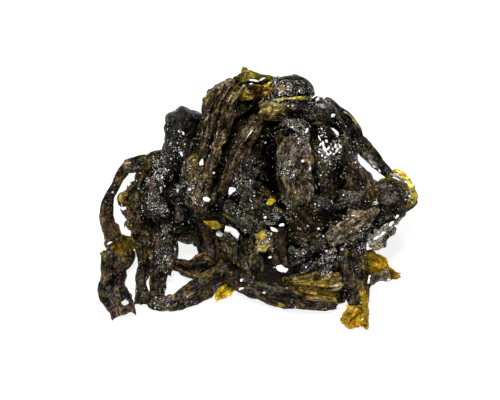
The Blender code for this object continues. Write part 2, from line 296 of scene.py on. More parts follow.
FINE, COARSE = 0.48, 0.95     # mesh spacing of the fronds in front and of the others
TAPER, TORN, ROUND = "taper", "torn", "round"      # how a frond ends
NARROWEST, THIN_RIM = 0.3, 0.10     # least width of a frond, and its thickness at the rim
LOWEST, FLATTEN = 0.25, 2.2         # least height over the floor, and how sharply fronds are pressed to it

# Colour in places of the picture: across, up, two radii, colour, how thin, strength
TINTS = (
    (-51.4, 31.2, 4.4, 2.8, (0.2, 0.125, 0.01), 0.5, 0.9), (-55.8, 35.8, 2.6, 3.6, ROSE, 0.1, 0.6),
    (-57, 30.2, 1.8, 2.4, (0.06, 0.045, 0.06), 0.1, 0.6), (-57.2, 26, 1.6, 3, (0.03, 0.045, 0.012), 0.1, 0.6),
    (-58.6, 21.4, 1.8, 2, OLIVE, 0.4, 0.8), (-50.5, 6.8, 4, 1.8, ROSE, 0.1, 0.6),
    (-59.6, 42.5, 0.7, 5, (0.16, 0.14, 0.03), 0.3, 0.7), (-53, 56, 1.6, 2, OLIVE, 0.2, 0.8),
    (-50, 63, 2, 1.2, (0.2, 0.13, 0.07), 0.1, 0.8), (-40.6, 63, 2.2, 3.2, OLIVE, 0.2, 0.8),
    (-52.2, 49, 1.1, 1.6, (0.24, 0.19, 0.02), 0.3, 0.7), (-50.4, 52.9, 2.2, 1, (0.16, 0.12, 0.02), 0.2, 0.7),
    (-47.5, 50.6, 3.8, 2.4, (0.1, 0.08, 0.02), 0.1, 0.5), (-47.5, 37, 1.8, 1.8, (0.22, 0.17, 0.03), 0.3, 0.7),
    # The row at (-12, 92.8) is a painted highlight along the fold's upper rim
    (-19, 89, 1.3, 2.2, (0.4, 0.33, 0.02), 0.5, 0.8), (-12, 92.8, 5.5, 1.1, (0.24, 0.18, 0.12), 0.2, 0.7),
    (-2.6, 96.6, 3, 1.6, (0.3, 0.25, 0.02), 0.5, 0.9), (-1.5, 89.9, 5.5, 2.2, (0.36, 0.24, 0.012), 0.5, 0.9),
    (4.5, 83.3, 4.8, 3, (0.4, 0.31, 0.07), 0.3, 0.9), (14.5, 87.4, 5.6, 0.5, (0.62, 0.58, 0.06), 0.5, 0.9),
    (37.6, 79.2, 0.7, 3, (0.24, 0.22, 0.07), 0.3, 0.6), (57.6, 50.8, 2.4, 4.6, (0.46, 0.38, 0.05), 0.4, 0.8),
    (55, 58, 3.2, 0.9, LEMON, 0.6, 0.7), (43.6, 52.5, 1.4, 4, (0.16, 0.12, 0.02), 0.2, 0.7),
    (45, 25, 3.6, 4.2, (0.5, 0.36, 0.03), 0.7, 0.9), (52.9, 20.3, 1.6, 1.1, LEMON, 0.9, 1),
    (49, 21.2, 2.2, 1.8, (0.1, 0.08, 0.06), 0, 0.7), (36, 3.6, 6.5, 3.8, GOLD, 0.7, 0.95),
    (39.8, 11, 1.5, 7, (0.36, 0.25, 0.03), 0.5, 0.7), (23, 16.4, 8.6, 3.8, (0.38, 0.27, 0.05), 0.45, 0.9),
    (26, 13.6, 4, 1.6, (0.32, 0.25, 0.04), 0.4, 0.7), (13, 18.9, 3.2, 1.3, (0.13, 0.11, 0.015), 0.3, 0.9),
    (2.2, 32.9, 3, 3.2, (0.36, 0.29, 0.06), 0.3, 0.9), (4.8, 47.9, 1.8, 1.7, (0.9, 0.66, 0.02), 0.4, 1),
    (-16.4, 39.6, 2.8, 1.4, (0.42, 0.3, 0.015), 0.5, 0.95),
    (-12.6, 13.6, 1.6, 1.2, (0.85, 0.68, 0.03), 0.6, 0.8), (-26.5, 17, 1.6, 2.6, (0.2, 0.16, 0.05), 0.2, 0.6),
    (-21.6, 20.6, 3.4, 0.9, (0.24, 0.18, 0.04), 0.2, 0.7), (-29, 24, 4, 2.2, (0.1, 0.055, 0.006), 0.2, 0.6),
    (-31, 7.4, 7, 0.6, (0.4, 0.34, 0.12), 0.3, 0.6), (7.5, 9.8, 4, 0.7, GOLD, 0.4, 0.5),
    (-14, 12, 9, 0.8, (0.3, 0.24, 0.05), 0.3, 0.5), (-12.6, 56.5, 1.4, 4.4, (0.14, 0.075, 0.02), 0.1, 0.6),
    (9, 68.8, 2, 2.6, OLIVE, 0.1, 0.6), (-22.5, 65, 2.6, 1.8, (0.1, 0.09, 0.01), 0.1, 0.6),
    (19.6, 56, 1.1, 5, (0.42, 0.34, 0.3), 0.1, 0.7), (24.6, 68.4, 1.1, 2.6, (0.6, 0.52, 0.48), 0.3, 0.75),
    (26.2, 65.4, 1.4, 0.9, (0.6, 0.5, 0.46), 0.3, 0.7), (30.2, 68.4, 1, 1.5, (0.6, 0.54, 0.5), 0.3, 0.7),
    (23.4, 73.4, 0.9, 1.5, (0.55, 0.47, 0.42), 0.2, 0.7), (13.4, 52, 5.5, 5, (0.06, 0.05, 0.018), 0.05, 0.7),
    # The two rows here are a painted highlight where the right strap glints
    (45, 62.4, 1.8, 1.2, (0.5, 0.5, 0.47), 0.2, 0.7), (41.6, 66, 1.4, 1.4, (0.2, 0.2, 0.2), 0.1, 0.6),
    (23, 81.6, 5, 1, (0.12, 0.07, 0.05), 0.1, 0.4), (24, 84.4, 2.2, 0.7, (0.5, 0.46, 0.52), 0, 0.7),
    (-24, 51.5, 5.4, 5.6, (0.042, 0.036, 0.026), 0, 0.8), (-13.6, 51, 3, 4, (0.042, 0.036, 0.026), 0, 0.6),
)


def along(rows, knots, places):
    """Smooth curves through rows that stand at knots."""
    slopes = np.gradient(rows, knots, axis=0)
    left = np.clip(np.searchsorted(knots, places, side="right") - 1, 0, len(knots) - 2)
    gap = (knots[left + 1] - knots[left])[:, None]
    part = (places - knots[left])[:, None] / gap
    start, stop = rows[left], rows[left + 1]
    return ((2 * part ** 3 - 3 * part ** 2 + 1) * start
            + (part ** 3 - 2 * part ** 2 + part) * slopes[left] * gap
            + (3 * part ** 2 - 2 * part ** 3) * stop
            + (part ** 3 - part ** 2) * slopes[left + 1] * gap)


def sampled(rows, fine, places):
    """Rows at any array of places along the frond."""
    return np.stack([np.interp(places, fine, rows[:, k]) for k in range(rows.shape[1])], axis=-1)


def running_sum(values, step):
    """Integral over the last axis from its middle."""
    total = np.zeros_like(values)
    total[:, 1:] = np.cumsum((values[:, 1:] + values[:, :-1]) * 0.5 * step, axis=1)
    middle = 0.5 * (total[:, (values.shape[1] - 1) // 2] + total[:, values.shape[1] // 2])
    return total - middle[:, None]


def grid_normals(points):
    return unit(np.cross(np.gradient(points, axis=0), np.gradient(points, axis=1)))


def facing(points):
    """Which way a frond's face looks: out of the heap, turned a little to the viewer."""
    out, share = outward(points)
    loose = np.clip((share - 1.1) * 2.5, 0.0, 1.0)[:, None]
    front = (out @ VIEW > -0.2)[:, None]
    return unit(out * (1.0 - 0.7 * loose) + VIEW * np.where(front, 0.35 + loose, 0.0))


def seen_share(ahead, side):
    """How much of a frond's width shows in the picture, across its direction there."""
    run = np.stack((ahead[:, 0], ahead @ RISE), axis=1)
    sure = np.clip((np.linalg.norm(run, axis=1) - 0.2) / 0.4, 0.0, 1.0)
    run = unit(run)
    return 1.0 - sure * (1.0 - np.abs(run[:, 0] * (side @ RISE) - run[:, 1] * side[:, 0]))


class Sheet(NamedTuple):
    """A finished frond: places, quads, and what its material reads."""
    points: np.ndarray
    quads: np.ndarray
    tint: np.ndarray
    thin: np.ndarray
    dusty: np.ndarray
    grain: np.ndarray
    facing: np.ndarray


def spine(route, widths, normals, seed, lean, tinted):
    """Places along a frond, and there its middle line, the ways of its side and its face, and its width."""
    knots = np.append(0.0, np.cumsum(np.linalg.norm(np.diff(route, axis=0), axis=1)))
    length = knots[-1]
    fine = np.linspace(0.0, length, max(int(length / 0.5), 8))
    rows = along(np.column_stack((route, normals, widths)), knots, fine)
    wander_off = np.stack([flat_noise(fine / 7.0, 11.0 * axis, seed + 60) for axis in range(3)], axis=1)
    line = rows[:, :3] + 0.5 * wander_off * np.clip(rows[:, 6:] / 6.0, 0.0, 1.0)
    wide = np.maximum(rows[:, 6] * (1.0 + 0.12 * flat_noise(fine / 6.0, 5.0, seed + 61)), NARROWEST)
    ahead = unit(np.gradient(line, axis=0))
    out = rows[:, 3:6]
    out = unit(out - ahead * (out * ahead).sum(axis=1, keepdims=True))
    turn = np.radians(lean)
    side = np.cross(out, ahead)
    side, out = side * np.cos(turn) + out * np.sin(turn), out * np.cos(turn) - side * np.sin(turn)
    if tinted:
        wide = wide / np.clip(seen_share(ahead, side), 0.6, 1.0)
    return fine, np.column_stack((line, side, out, wide))


def short_of_end(end, u, arc, length, seed):
    """How far a frond stays back from its end, across its width."""
    if end == TORN:
        ragged = 0.5 + 0.5 * flat_noise(u * arc / 2.0 / 2.6, 3.1, seed)
        return ragged * min(2.2, length * 0.12)
    if end == ROUND:
        return (1.0 - np.sqrt(1.0 - 0.96 * u ** 2)) * arc * 0.45
    return np.zeros_like(u)


def bent_face(kind, seed, u, t, s, rails, tapers):
    """The face of a frond that is curled, pleated and ruffled round its line."""
    swing = flat_noise(s / 13.0, 0.0, seed + 7)
    edge = np.clip((np.abs(u) - 0.45) / 0.55, 0.0, 1.0) ** 2
    turned = kind.curl / 2.0 * u * (1.0 + 0.35 * swing)
    turned = turned + kind.rim * np.sign(u) * edge * (1.0 + 0.8 * flat_noise(s / 8.0, np.sign(u), seed + 8))
    phase = 2.2 * flat_noise(s / 16.0, 5.0, seed + 9)
    uneven = u + 0.16 * flat_noise(u * 2.2, s / 12.0, seed + 12)
    pleats = np.tanh(2.2 * np.sin(math.pi * kind.folds * uneven + phase))
    turned = turned + kind.fold * pleats * (0.7 + 0.6 * flat_noise(s / 9.0, 2.0, seed + 13))
    step = 2.0 / (u.shape[1] - 1)
    x = running_sum(np.cos(turned), step)
    h = -running_sum(np.sin(turned), step)
    half = rails[..., 9] / (x.max(axis=1) - x.min(axis=1))[:, None]
    fray = kind.torn * (flat_noise(s / 3.4, np.sign(u) * 3.0, seed + 10)
                        + 0.6 * flat_noise(s / 1.5, np.sign(u) * 3.0, seed + 11))
    x = x * (1.0 + fray * np.abs(u)) * half
    h = (h - h.max(axis=1, keepdims=True)) * half
    if tapers:
        h = h * np.clip(t / 0.1, 0.1, 1.0)
    wave = kind.ruffle * edge * np.sin(s * 2.0 * math.pi / 9.0 + np.sign(u) * 1.7 + 3.0 * swing)
    return rails[..., :3] + rails[..., 3:6] * x[..., None] + rails[..., 6:9] * (h + wave)[..., None]


def leaf_colours(kind, seed, u, across, s, arc, bumps, tone):
    """Colour, how thin the leaf is for light, and how light or dark each place is in its streaks and, as
    painted shade, in its creases.
    """
    bent = across + 1.2 * flat_noise(across / 6.0, s / 7.0, seed + 35)
    streak = flat_noise(bent / 0.9, s / 11.0, seed + 30)
    blotch = flat_noise(across / 4.5, s / 6.0, seed + 31)
    # Painted shade and light: the crumple height makes creases darker and crests lighter
    mix = np.clip(0.36 + 0.39 * streak + 0.31 * blotch + 0.20 * bumps, 0.0, 1.0)
    tint = blended(np.array(kind.dark), np.array(kind.light), mix[..., None]) * tone
    green = flat_noise(across / 3.2, s / 5.0, seed + 36)
    cold = flat_noise(across / 2.2, s / 3.2, seed + 37)
    vivid = (1.0 - min(2.2 * kind.thin, 0.9)) * min(0.10 / kind.light[0], 1.0)
    hues = np.stack((-0.24 * green, 0.12 * green, 0.85 * cold), axis=-1)
    tint *= np.clip(1.0 + vivid * hues, 0.2, 2.0)
    from_edge = arc / 2.0 * (1.0 - np.abs(u))
    # Painted highlight along the margins, in patches, where thin edges catch the light
    lit_rim = 1.4 * flat_noise(s / 2.6, np.sign(u) * 4.0, seed + 34) + 0.1
    lit_rim = np.exp(-(from_edge / 0.5) ** 2) * np.clip(lit_rim, 0.0, 0.8)
    tint = blended(tint, np.array(PALE.light), lit_rim[..., None])
    rim = 0.55 + 0.9 * flat_noise(s / 5.0, np.sign(u) * 2.0, seed + 32)
    rim = np.exp(-(from_edge / kind.margin_wide) ** 2) * np.clip(rim, 0.0, 1.0)
    tint = blended(tint, np.array(kind.margin) * tone, rim[..., None])
    return tint, np.maximum(kind.thin * (0.75 + 0.25 * blotch), rim * kind.margin_thin), mix


def kept_cells(face, holes, trimmed):
    """Which cells of a frond's grid stay: off its holes and, if it is trimmed, inside the heap's outline."""
    across, up = seen((face[1:, 1:] + face[:-1, :-1]) / 2.0)
    keep = np.ones(across.shape, dtype=bool)
    for x0, y0, rx, ry in holes:
        keep &= ((across - x0) / rx) ** 2 + ((up - y0) / ry) ** 2 > 1.0
    if trimmed:
        sure = clear(face)
        keep &= sure[1:, 1:] & sure[1:, :-1] & sure[:-1, 1:] & sure[:-1, :-1]
    return keep


def frond(route, widths, normals, kind, seed, lean=0.0, ends=(TORN, TORN), spacing=FINE, tinted=True,
          holes=(), tone=1.0, trimmed=False):
    """A closed thin sheet along a route. Widths are as seen by a viewer in front of its face."""
    fine, rails = spine(route, widths, normals, seed, lean, tinted)
    length = fine[-1]
    arc = rails[:, 9].max() * (1.0 + 0.16 * kind.curl + 0.10 * kind.folds * kind.fold)
    count = max(int(math.ceil(arc / spacing)), 5)
    steps = max(int(math.ceil(length / spacing)), 5)
    u = np.linspace(-1.0, 1.0, count + 1)[None, :]
    t = np.linspace(0.0, 1.0, steps + 1)[:, None]
    across = u * arc / 2.0 + 0.0 * t
    first, last = [short_of_end(end, u, arc, length, seed + 50 + index) for index, end in enumerate(ends)]
    s = first + (length - first - last) * t

    rails = sampled(rails, fine, s)
    face = bent_face(kind, seed, u, t, s, rails, ends[0] == TAPER)
    normal = grid_normals(face)
    flip = np.sign((normal * rails[..., 6:9]).sum(axis=-1).sum())
    normal *= flip
    bumps = crumple(across, s / kind.stretch, seed + 20)
    face = face + normal * (kind.crush * np.clip(arc / 6.0, 0.35, 1.0) * bumps)[..., None]
    normal = grid_normals(face) * flip

    body = np.sqrt(np.clip(1.0 - np.abs(u) ** 5, 0.0, 1.0))
    body = body * np.sqrt(np.clip(1.0 - np.abs(2.0 * t - 1.0) ** 12, 0.0, 1.0))
    thick = (THIN_RIM + (kind.thick - THIN_RIM) * body)[..., None]
    shape = np.stack((face + normal * thick * 0.5, face - normal * thick * 0.5))
    low = shape[..., 2]
    shape[..., 2] = LOWEST + np.logaddexp(0.0, (low - LOWEST) * FLATTEN) / FLATTEN

    tint, thin, mix = leaf_colours(kind, seed, u, across, s, arc, bumps, tone)
    if tinted:
        tint, thin = with_tints(face, tint, thin, mix)
    dusty = kind.salt * np.clip(0.75 + 0.5 * flat_noise(across / 5.0, s / 5.0, seed + 33), 0.1, 1.4)
    grain = np.stack((across, s, np.full(s.shape, seed * 7.3 % 97.0)), axis=-1)
    twice = [np.concatenate([part.reshape(-1, *part.shape[2:])] * 2) for part in (tint, thin, dusty, grain)]
    both_ways = np.stack((normal, -normal)).reshape(-1, 3)
    quads = closed_quads(steps, count, kept_cells(face, holes, trimmed), flip)
    used, quads = np.unique(quads, return_inverse=True)
    parts = [part[used] for part in (*twice, both_ways)]
    return Sheet(shape.reshape(-1, 3)[used], quads.reshape(-1, 4), *parts)


def with_tints(face, tint, thin, mix):
    """Blends the colours that the photograph has in certain places."""
    across, up = seen(face)
    ragged = (1.0 + 0.55 * noise(face / 2.4, 5)) ** 2
    patchy = np.clip(0.9 + 0.8 * noise(face / 1.1, 6), 0.3, 1.0)
    for x0, y0, rx, ry, colour, depth, strength in TINTS:
        far = (((across - x0) / rx) ** 2 + ((up - y0) / ry) ** 2) * ragged
        share = strength * patchy * np.exp(-far ** 1.5)
        share = np.where(share > 0.02, share, 0.0)
        shaded = np.array(colour) * (0.40 + 1.2 * mix[..., None])
        tint = blended(tint, shaded, share[..., None])
        thin = blended(thin, depth, share)
    return tint, thin


def closed_quads(steps, count, keep, flip):
    """Both faces of the sheet and the walls around its outline and its holes."""
    rows, columns = np.nonzero(keep)
    wide = count + 1
    layer = (steps + 1) * wide
    a = rows * wide + columns
    front = np.stack((a, a + wide, a + wide + 1, a + 1), axis=1)
    if flip < 0:
        front = front[:, ::-1]
    quads = [front, front[:, ::-1] + layer]
    solid = np.pad(keep, 1)
    walls = ((-1, 0, 0, 1), (1, 0, wide + 1, wide), (0, -1, wide, 0), (0, 1, 1, wide + 1))
    for down, right, first, last in walls:
        bare = ~solid[1 + down:1 + down + steps, 1 + right:1 + right + count] & keep
        rows, columns = np.nonzero(bare)
        a = rows * wide + columns
        wall = np.stack((a + first, a + last, a + last + layer, a + first + layer), axis=1)
        quads.append(wall if flip > 0 else wall[:, ::-1])
    return np.concatenate(quads)


# Meshes and materials

def joined(sheets):
    """One sheet of many."""
    starts = np.cumsum([0] + [len(sheet.points) for sheet in sheets[:-1]])
    quads = np.concatenate([sheet.quads + start for sheet, start in zip(sheets, starts)])
    parts = [np.concatenate([sheet[k] for sheet in sheets]) for k in (0, 2, 3, 4, 5, 6)]
    return Sheet(parts[0], quads, *parts[1:])


class Crowd:
    """How crowded each cubic millimetre of the heap is, from 0 in the open to 1 deep inside, which sets the
    painted shade.
    """

    LOW = np.array((-66.0, -56.0, -6.0))
    SHAPE = (132, 112, 76)

    def __init__(self, sheets, reach):
        spots = np.stack(np.meshgrid(*[np.arange(n) for n in self.SHAPE], indexing="ij"), axis=-1)
        centres = self.LOW + (spots.reshape(-1, 3) + 0.5)
        masses = zip(MIDDLES, RADII)
        share = np.min([(((centres - middle) / radii) ** 2).sum(axis=1) for middle, radii in masses], axis=0)
        full = (share < 0.82).reshape(self.SHAPE)
        for sheet in sheets:
            full[self.cells(sheet.points)] = True
        self.field = full.astype(np.float32)
        for axis in (0, 1, 2):
            for _ in range(2):
                moved = [np.roll(self.field, k, axis) for k in range(-reach, reach + 1)]
                self.field = sum(moved) / (2 * reach + 1)

    def cells(self, points):
        found = np.floor(points - self.LOW).astype(int)
        return tuple(np.clip(found, 0, np.array(self.SHAPE) - 1).T)

    def at(self, points):
        return self.field[self.cells(points)]


def sunk_in_shade(sheet, wide, close):
    """Paints shade into the colour of what lies between and under others and in the hollows, and thins the
    salt dust there with it.
    """
    left = np.ones(len(sheet.points))
    # Painted shade: colour darkened in crevices and under other fronds, where the heap is crowded
    for crowd, off, low, high, deep in ((wide, 2.2, 0.26, 0.58, 0.82), (close, 1.6, 0.34, 0.80, 0.75)):
        near = crowd.at(sheet.points + sheet.facing * off)
        share = np.clip((near - low) / (high - low), 0.0, 1.0)
        left *= 1.0 - deep * share * share * (3.0 - 2.0 * share)
    # Painted shade in the hollows that face the viewer
    in_front = np.clip(sheet.facing @ VIEW * 2.0 + 0.5, 0.0, 1.0)
    left *= 1.0 - 0.10 * np.clip(hollow(*seen(sheet.points)) / 5.0, 0.0, 1.0) * in_front
    return sheet._replace(tint=sheet.tint * left[:, None] * WARM, dusty=sheet.dusty * left)


def placed(name, data):
    """A new object in the scene."""
    thing = bpy.data.objects.new(name, data)
    bpy.context.scene.collection.objects.link(thing)
    return thing


def stored(items, field, kind=np.float32):
    """The three numbers that Blender stores for each item, as rows."""
    values = np.empty(len(items) * 3, dtype=kind)
    items.foreach_get(field, values)
    return values.reshape(-1, 3)


def store_places(mesh, points):
    mesh.vertices.foreach_set("co", (points * MM).astype(np.float32).ravel())


def mesh_from(name, points, polygons, material):
    """A smooth mesh object from millimetre points and polygons with equal corner counts."""
    corners = polygons.shape[1]
    mesh = bpy.data.meshes.new(name)
    mesh.vertices.add(len(points))
    store_places(mesh, points)
    mesh.loops.add(polygons.size)
    mesh.loops.foreach_set("vertex_index", polygons.astype(np.int32).ravel())
    mesh.polygons.add(len(polygons))
    mesh.polygons.foreach_set("loop_start", np.arange(0, polygons.size, corners, dtype=np.int32))
    mesh.polygons.foreach_set("use_smooth", np.ones(len(polygons), dtype=bool))
    mesh.update(calc_edges=True)
    mesh.validate()
    mesh.materials.append(material)
    return placed(name, mesh)


def give(mesh, name, kind, values):
    """Stores a value at each vertex for the material."""
    field = {"FLOAT": "value", "FLOAT_VECTOR": "vector", "FLOAT_COLOR": "color"}[kind]
    attribute = mesh.attributes.new(name, kind, "POINT")
    attribute.data.foreach_set(field, np.asarray(values, dtype=np.float32).ravel())


def add_fronds(name, sheets, material):
    whole = joined(sheets)
    piece = mesh_from(name, whole.points, whole.quads, material)
    give(piece.data, "tint", "FLOAT_COLOR", np.column_stack((whole.tint, np.ones(len(whole.points)))))
    give(piece.data, "thin", "FLOAT", whole.thin)
    give(piece.data, "dusty", "FLOAT", whole.dusty)
    give(piece.data, "grain", "FLOAT_VECTOR", whole.grain)
    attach(piece, BODY)
    return piece


class Nodes:
    """A new material, and short ways to add and join its shader nodes."""

    def __init__(self, name):
        self.material = bpy.data.materials.new(name)
        self.material.use_nodes = True
        self.tree = self.material.node_tree
        self.tree.nodes.clear()
        self.place = self.add("ShaderNodeTexCoord").outputs["Object"]

    def add(self, kind, settings=None, **inputs):
        node = self.tree.nodes.new(kind)
        for key, value in (settings or {}).items():
            setattr(node, key, value)
        for key, value in inputs.items():
            self.put(node.inputs[key.replace("_", " ")], value)
        return node

    def put(self, socket, value):
        if isinstance(value, bpy.types.NodeSocket):
            self.tree.links.new(value, socket)
        else:
            socket.default_value = value

    def fill(self, node, values, output=0):
        """Puts values into a node's first inputs and gives its output."""
        for socket, value in zip(node.inputs, values):
            self.put(socket, value)
        return node.outputs[output]

    def attribute(self, name, output="Fac"):
        return self.add("ShaderNodeAttribute", {"attribute_name": name}).outputs[output]

    def facing_up(self):
        normal = self.add("ShaderNodeNewGeometry").outputs["Normal"]
        return self.add("ShaderNodeSeparateXYZ", Vector=normal).outputs["Z"]

    def maths(self, operation, *values, clamp=False):
        return self.fill(self.add("ShaderNodeMath", {"operation": operation, "use_clamp": clamp}), values)

    def plus(self, *values):
        return self.maths("ADD", *values)

    def minus(self, *values):
        return self.maths("SUBTRACT", *values)

    def times(self, *values, clamp=False):
        return self.maths("MULTIPLY", *values, clamp=clamp)

    def most(self, *values, clamp=False):
        return self.maths("MAXIMUM", *values, clamp=clamp)

    def ranged(self, value, low, high, to_low=0.0, to_high=1.0):
        node = self.add("ShaderNodeMapRange", {"interpolation_type": "SMOOTHSTEP"})
        return self.fill(node, (value, low, high, to_low, to_high))

    def vectors(self, operation, *values):
        return self.fill(self.add("ShaderNodeVectorMath", {"operation": operation}), values)

    def noise(self, vector, scale, detail=2.0, rough=0.55, output="Fac"):
        node = self.add("ShaderNodeTexNoise", Vector=vector, Scale=scale, Detail=detail, Roughness=rough)
        return node.outputs[output]

    def mixed(self, share, first, second, blend="MIX"):
        node = self.add("ShaderNodeMix", {"data_type": "RGBA", "blend_type": blend})
        for index, value in ((0, share), (6, first), (7, second)):
            self.put(node.inputs[index], value)
        return node.outputs[2]

    def bump(self, height, strength, distance):
        return self.add("ShaderNodeBump", Strength=strength, Distance=distance, Height=height).outputs[0]

    def skin(self, colour, rough, **more):
        return self.add("ShaderNodeBsdfPrincipled", Base_Color=colour, Roughness=rough, **more).outputs[0]

    def finish(self, shader):
        self.add("ShaderNodeOutputMaterial", Surface=shader)
        return self.material


def wakame_material():
    """Wet dark leaf: streaks along the frond, dusty salt on what looks up, thin golden margins."""
    n = Nodes("salted_wakame")
    tint, grain = n.attribute("tint", "Color"), n.attribute("grain", "Vector")
    thin, dusty = n.attribute("thin"), n.attribute("dusty")
    streak = n.noise(n.vectors("MULTIPLY", grain, (0.9, 0.13, 1.0)), 1.0, 3.0)
    fibre = n.noise(n.vectors("MULTIPLY", grain, (2.1, 0.42, 1.0)), 1.0)
    blotch = n.noise(n.place, 210.0, 3.0)
    speck = n.noise(n.place, 1500.0, 2.0, 0.7)
    flake = n.noise(n.place, 850.0, 2.0, 0.6)

    # The flake noise also raises the bump, so pits come out darker and raised bits lighter: painted shade at
    # the finest scale. Streaks, fibres and blotches are the leaf's own tone.
    shade = n.times(n.ranged(streak, 0.36, 0.64, 0.40, 1.32), n.ranged(fibre, 0.36, 0.64, 0.45, 1.5))
    shade = n.times(shade, n.ranged(blotch, 0.38, 0.62, 0.45, 1.4))
    shade = n.times(shade, n.ranged(flake, 0.38, 0.62, 0.28, 1.72))
    shade = n.plus(shade, n.times(n.times(thin, 0.9, clamp=True), n.minus(1.1, shade)))
    hues = n.noise(n.place, 520.0, 2.0, 0.6, "Color")
    hues = n.vectors("MULTIPLY", n.vectors("SUBTRACT", hues, (0.5, 0.5, 0.5)), (0.85, 0.6, 2.0))
    hues = n.vectors("MAXIMUM", n.vectors("ADD", hues, (1.0, 1.0, 1.0)), (0.2, 0.2, 0.2))
    colour = n.mixed(n.ranged(thin, 0.05, 0.35, 1.0, 0.1), tint, hues, "MULTIPLY")
    grey = n.add("ShaderNodeCombineColor", Red=shade, Green=shade, Blue=shade).outputs[0]
    colour = n.mixed(1.0, colour, grey, "MULTIPLY")

    # dusty also carries the painted shade that sunk_in_shade lays on the dust
    amount = n.times(dusty, n.ranged(n.facing_up(), -0.35, 0.75, 0.25, 1.0))
    limit = n.minus(0.70, n.times(amount, 0.16))
    flecks = n.ranged(speck, limit, n.plus(limit, 0.05))
    crust = n.ranged(flake, n.plus(limit, 0.02), n.plus(limit, 0.10))
    film = n.times(amount, n.ranged(blotch, 0.4, 0.75, 0.0, 0.05))
    dust = n.most(n.most(flecks, n.times(crust, 0.6)), film, clamp=True)
    colour = n.mixed(n.times(dust, 0.7), colour, (0.26, 0.23, 0.18, 1.0))
    rough = n.most(n.ranged(blotch, 0.35, 0.65, 0.16, 0.28), n.times(dust, 0.8))

    ridge = n.maths("ABSOLUTE", n.minus(streak, 0.5))
    height = n.plus(n.times(ridge, -3.0), n.times(fibre, 0.6))
    height = n.plus(n.plus(height, n.times(flake, 1.3)), n.times(speck, 0.5))
    bump = n.bump(height, 1.0, 0.0009)
    skin = n.skin(colour, rough, Normal=bump, Specular_IOR_Level=0.08)
    glow = n.mixed(1.0, colour, (1.9, 1.6, 0.8, 1.0), "MULTIPLY")
    through = n.add("ShaderNodeBsdfTranslucent", Color=glow, Normal=bump).outputs[0]
    return n.finish(n.fill(n.add("ShaderNodeMixShader"), (n.times(thin, 0.6, clamp=True), skin, through)))


def core_material():
    """The dark inside of the heap, wrinkled and finely dusted; kept near black with painted shade, so the
    gaps between fronds read as recesses.
    """
    n = Nodes("wakame_inside")
    fold = n.noise(n.place, 420.0, 4.0)
    flake = n.noise(n.place, 900.0, 2.0, 0.6)
    speck = n.noise(n.place, 1500.0, 2.0, 0.7)
    blotch = n.noise(n.place, 180.0, 3.0)
    # Lighter on risen folds and darker in the pits the bump sinks: painted shade
    base = n.mixed(n.ranged(fold, 0.3, 0.7), (0.008, 0.006, 0.004, 1.0), (0.040, 0.029, 0.017, 1.0))
    base = n.mixed(n.ranged(blotch, 0.5, 0.7), base, (0.012, 0.010, 0.005, 1.0))
    base = n.mixed(n.ranged(flake, 0.40, 0.62, 0.8, 0.0), base, (0.004, 0.003, 0.002, 1.0))
    flecks = n.times(n.ranged(speck, 0.64, 0.70), n.ranged(n.facing_up(), -0.1, 0.8))
    colour = n.mixed(n.times(flecks, 0.6), base, (0.26, 0.24, 0.21, 1.0))
    bump = n.bump(n.plus(n.plus(fold, flake), n.times(speck, 0.4)), 0.9, 0.0008)
    rough = n.ranged(blotch, 0.35, 0.65, 0.35, 0.6)
    return n.finish(n.skin(colour, rough, Normal=bump, Specular_IOR_Level=0.08))


def salt_material():
    """White crystals, cloudy inside and frosted outside."""
    n = Nodes("salt_crystal")
    cloud = n.noise(n.place, 900.0)
    frost = n.noise(n.place, 5200.0)
    colour = n.mixed(n.ranged(cloud, 0.3, 0.7), (0.95, 0.94, 0.92, 1.0), (0.70, 0.69, 0.66, 1.0))
    colour = n.mixed(n.attribute("white"), (0.16, 0.14, 0.11, 1.0), colour)
    rough = n.ranged(frost, 0.3, 0.7, 0.22, 0.5)
    return n.finish(n.skin(colour, rough, Normal=n.bump(frost, 0.4, 0.0001)))


def floor_material():
    n = Nodes("pale_floor")
    colour = n.mixed(n.noise(n.place, 900.0), (0.22, 0.22, 0.22, 1.0), (0.20, 0.20, 0.20, 1.0))
    return n.finish(n.skin(colour, 0.9, Specular_IOR_Level=0.1, Emission_Color=(1.0, 1.0, 1.0, 1.0),
                           Emission_Strength=0.86))


# The core

THROUGH = 140.0     # half the length of the tools that cut the openings


def core_mesh():
    """The bulges shrunk under the fronds and fused, then cut clear of the openings."""
    shape = bmesh.new()
    for middle, radii in zip(MIDDLES, RADII):
        size = (radii - np.minimum(3.2, radii * 0.3)) * MM
        place = Matrix.Translation(Vector(middle * MM)) @ Matrix.Diagonal(Vector((*size, 1.0)))
        bmesh.ops.create_uvsphere(shape, u_segments=40, v_segments=28, radius=1.0, matrix=place)
    mesh = bpy.data.meshes.new("core")
    shape.to_mesh(mesh)
    shape.free()
    holder = placed("core", mesh)
    fused = holder.modifiers.new("fused", "REMESH")
    fused.mode = "VOXEL"
    fused.voxel_size = 1.35 * MM
    tools = [prism(drawn_in(corners, -1.2)) for corners in GAPS] + [under_floor()]
    for tool in tools:
        cut = holder.modifiers.new("cut", "BOOLEAN")
        cut.operation = "DIFFERENCE"
        cut.solver = "EXACT"
        cut.object = tool
    bpy.context.view_layer.update()
    evaluated = holder.evaluated_get(bpy.context.evaluated_depsgraph_get())
    result = bpy.data.meshes.new_from_object(evaluated)
    for thing in tools + [holder]:
        bpy.data.objects.remove(thing)
    return result


def prism(corners):
    """A prism along the line of sight over corners given in the picture."""
    ends = [[at(*corner, 0.0) + VIEW * reach for corner in corners] for reach in (-THROUGH, THROUGH)]
    return tool_object([tuple(p * MM) for p in ends[0] + ends[1]])


def under_floor():
    """A slab from just above the floor downwards."""
    reach, top, base = 0.2, 0.0006, -0.1
    ring = ((-reach, -reach), (reach, -reach), (reach, reach), (-reach, reach))
    return tool_object([(x, y, z) for z in (base, top) for x, y in ring])


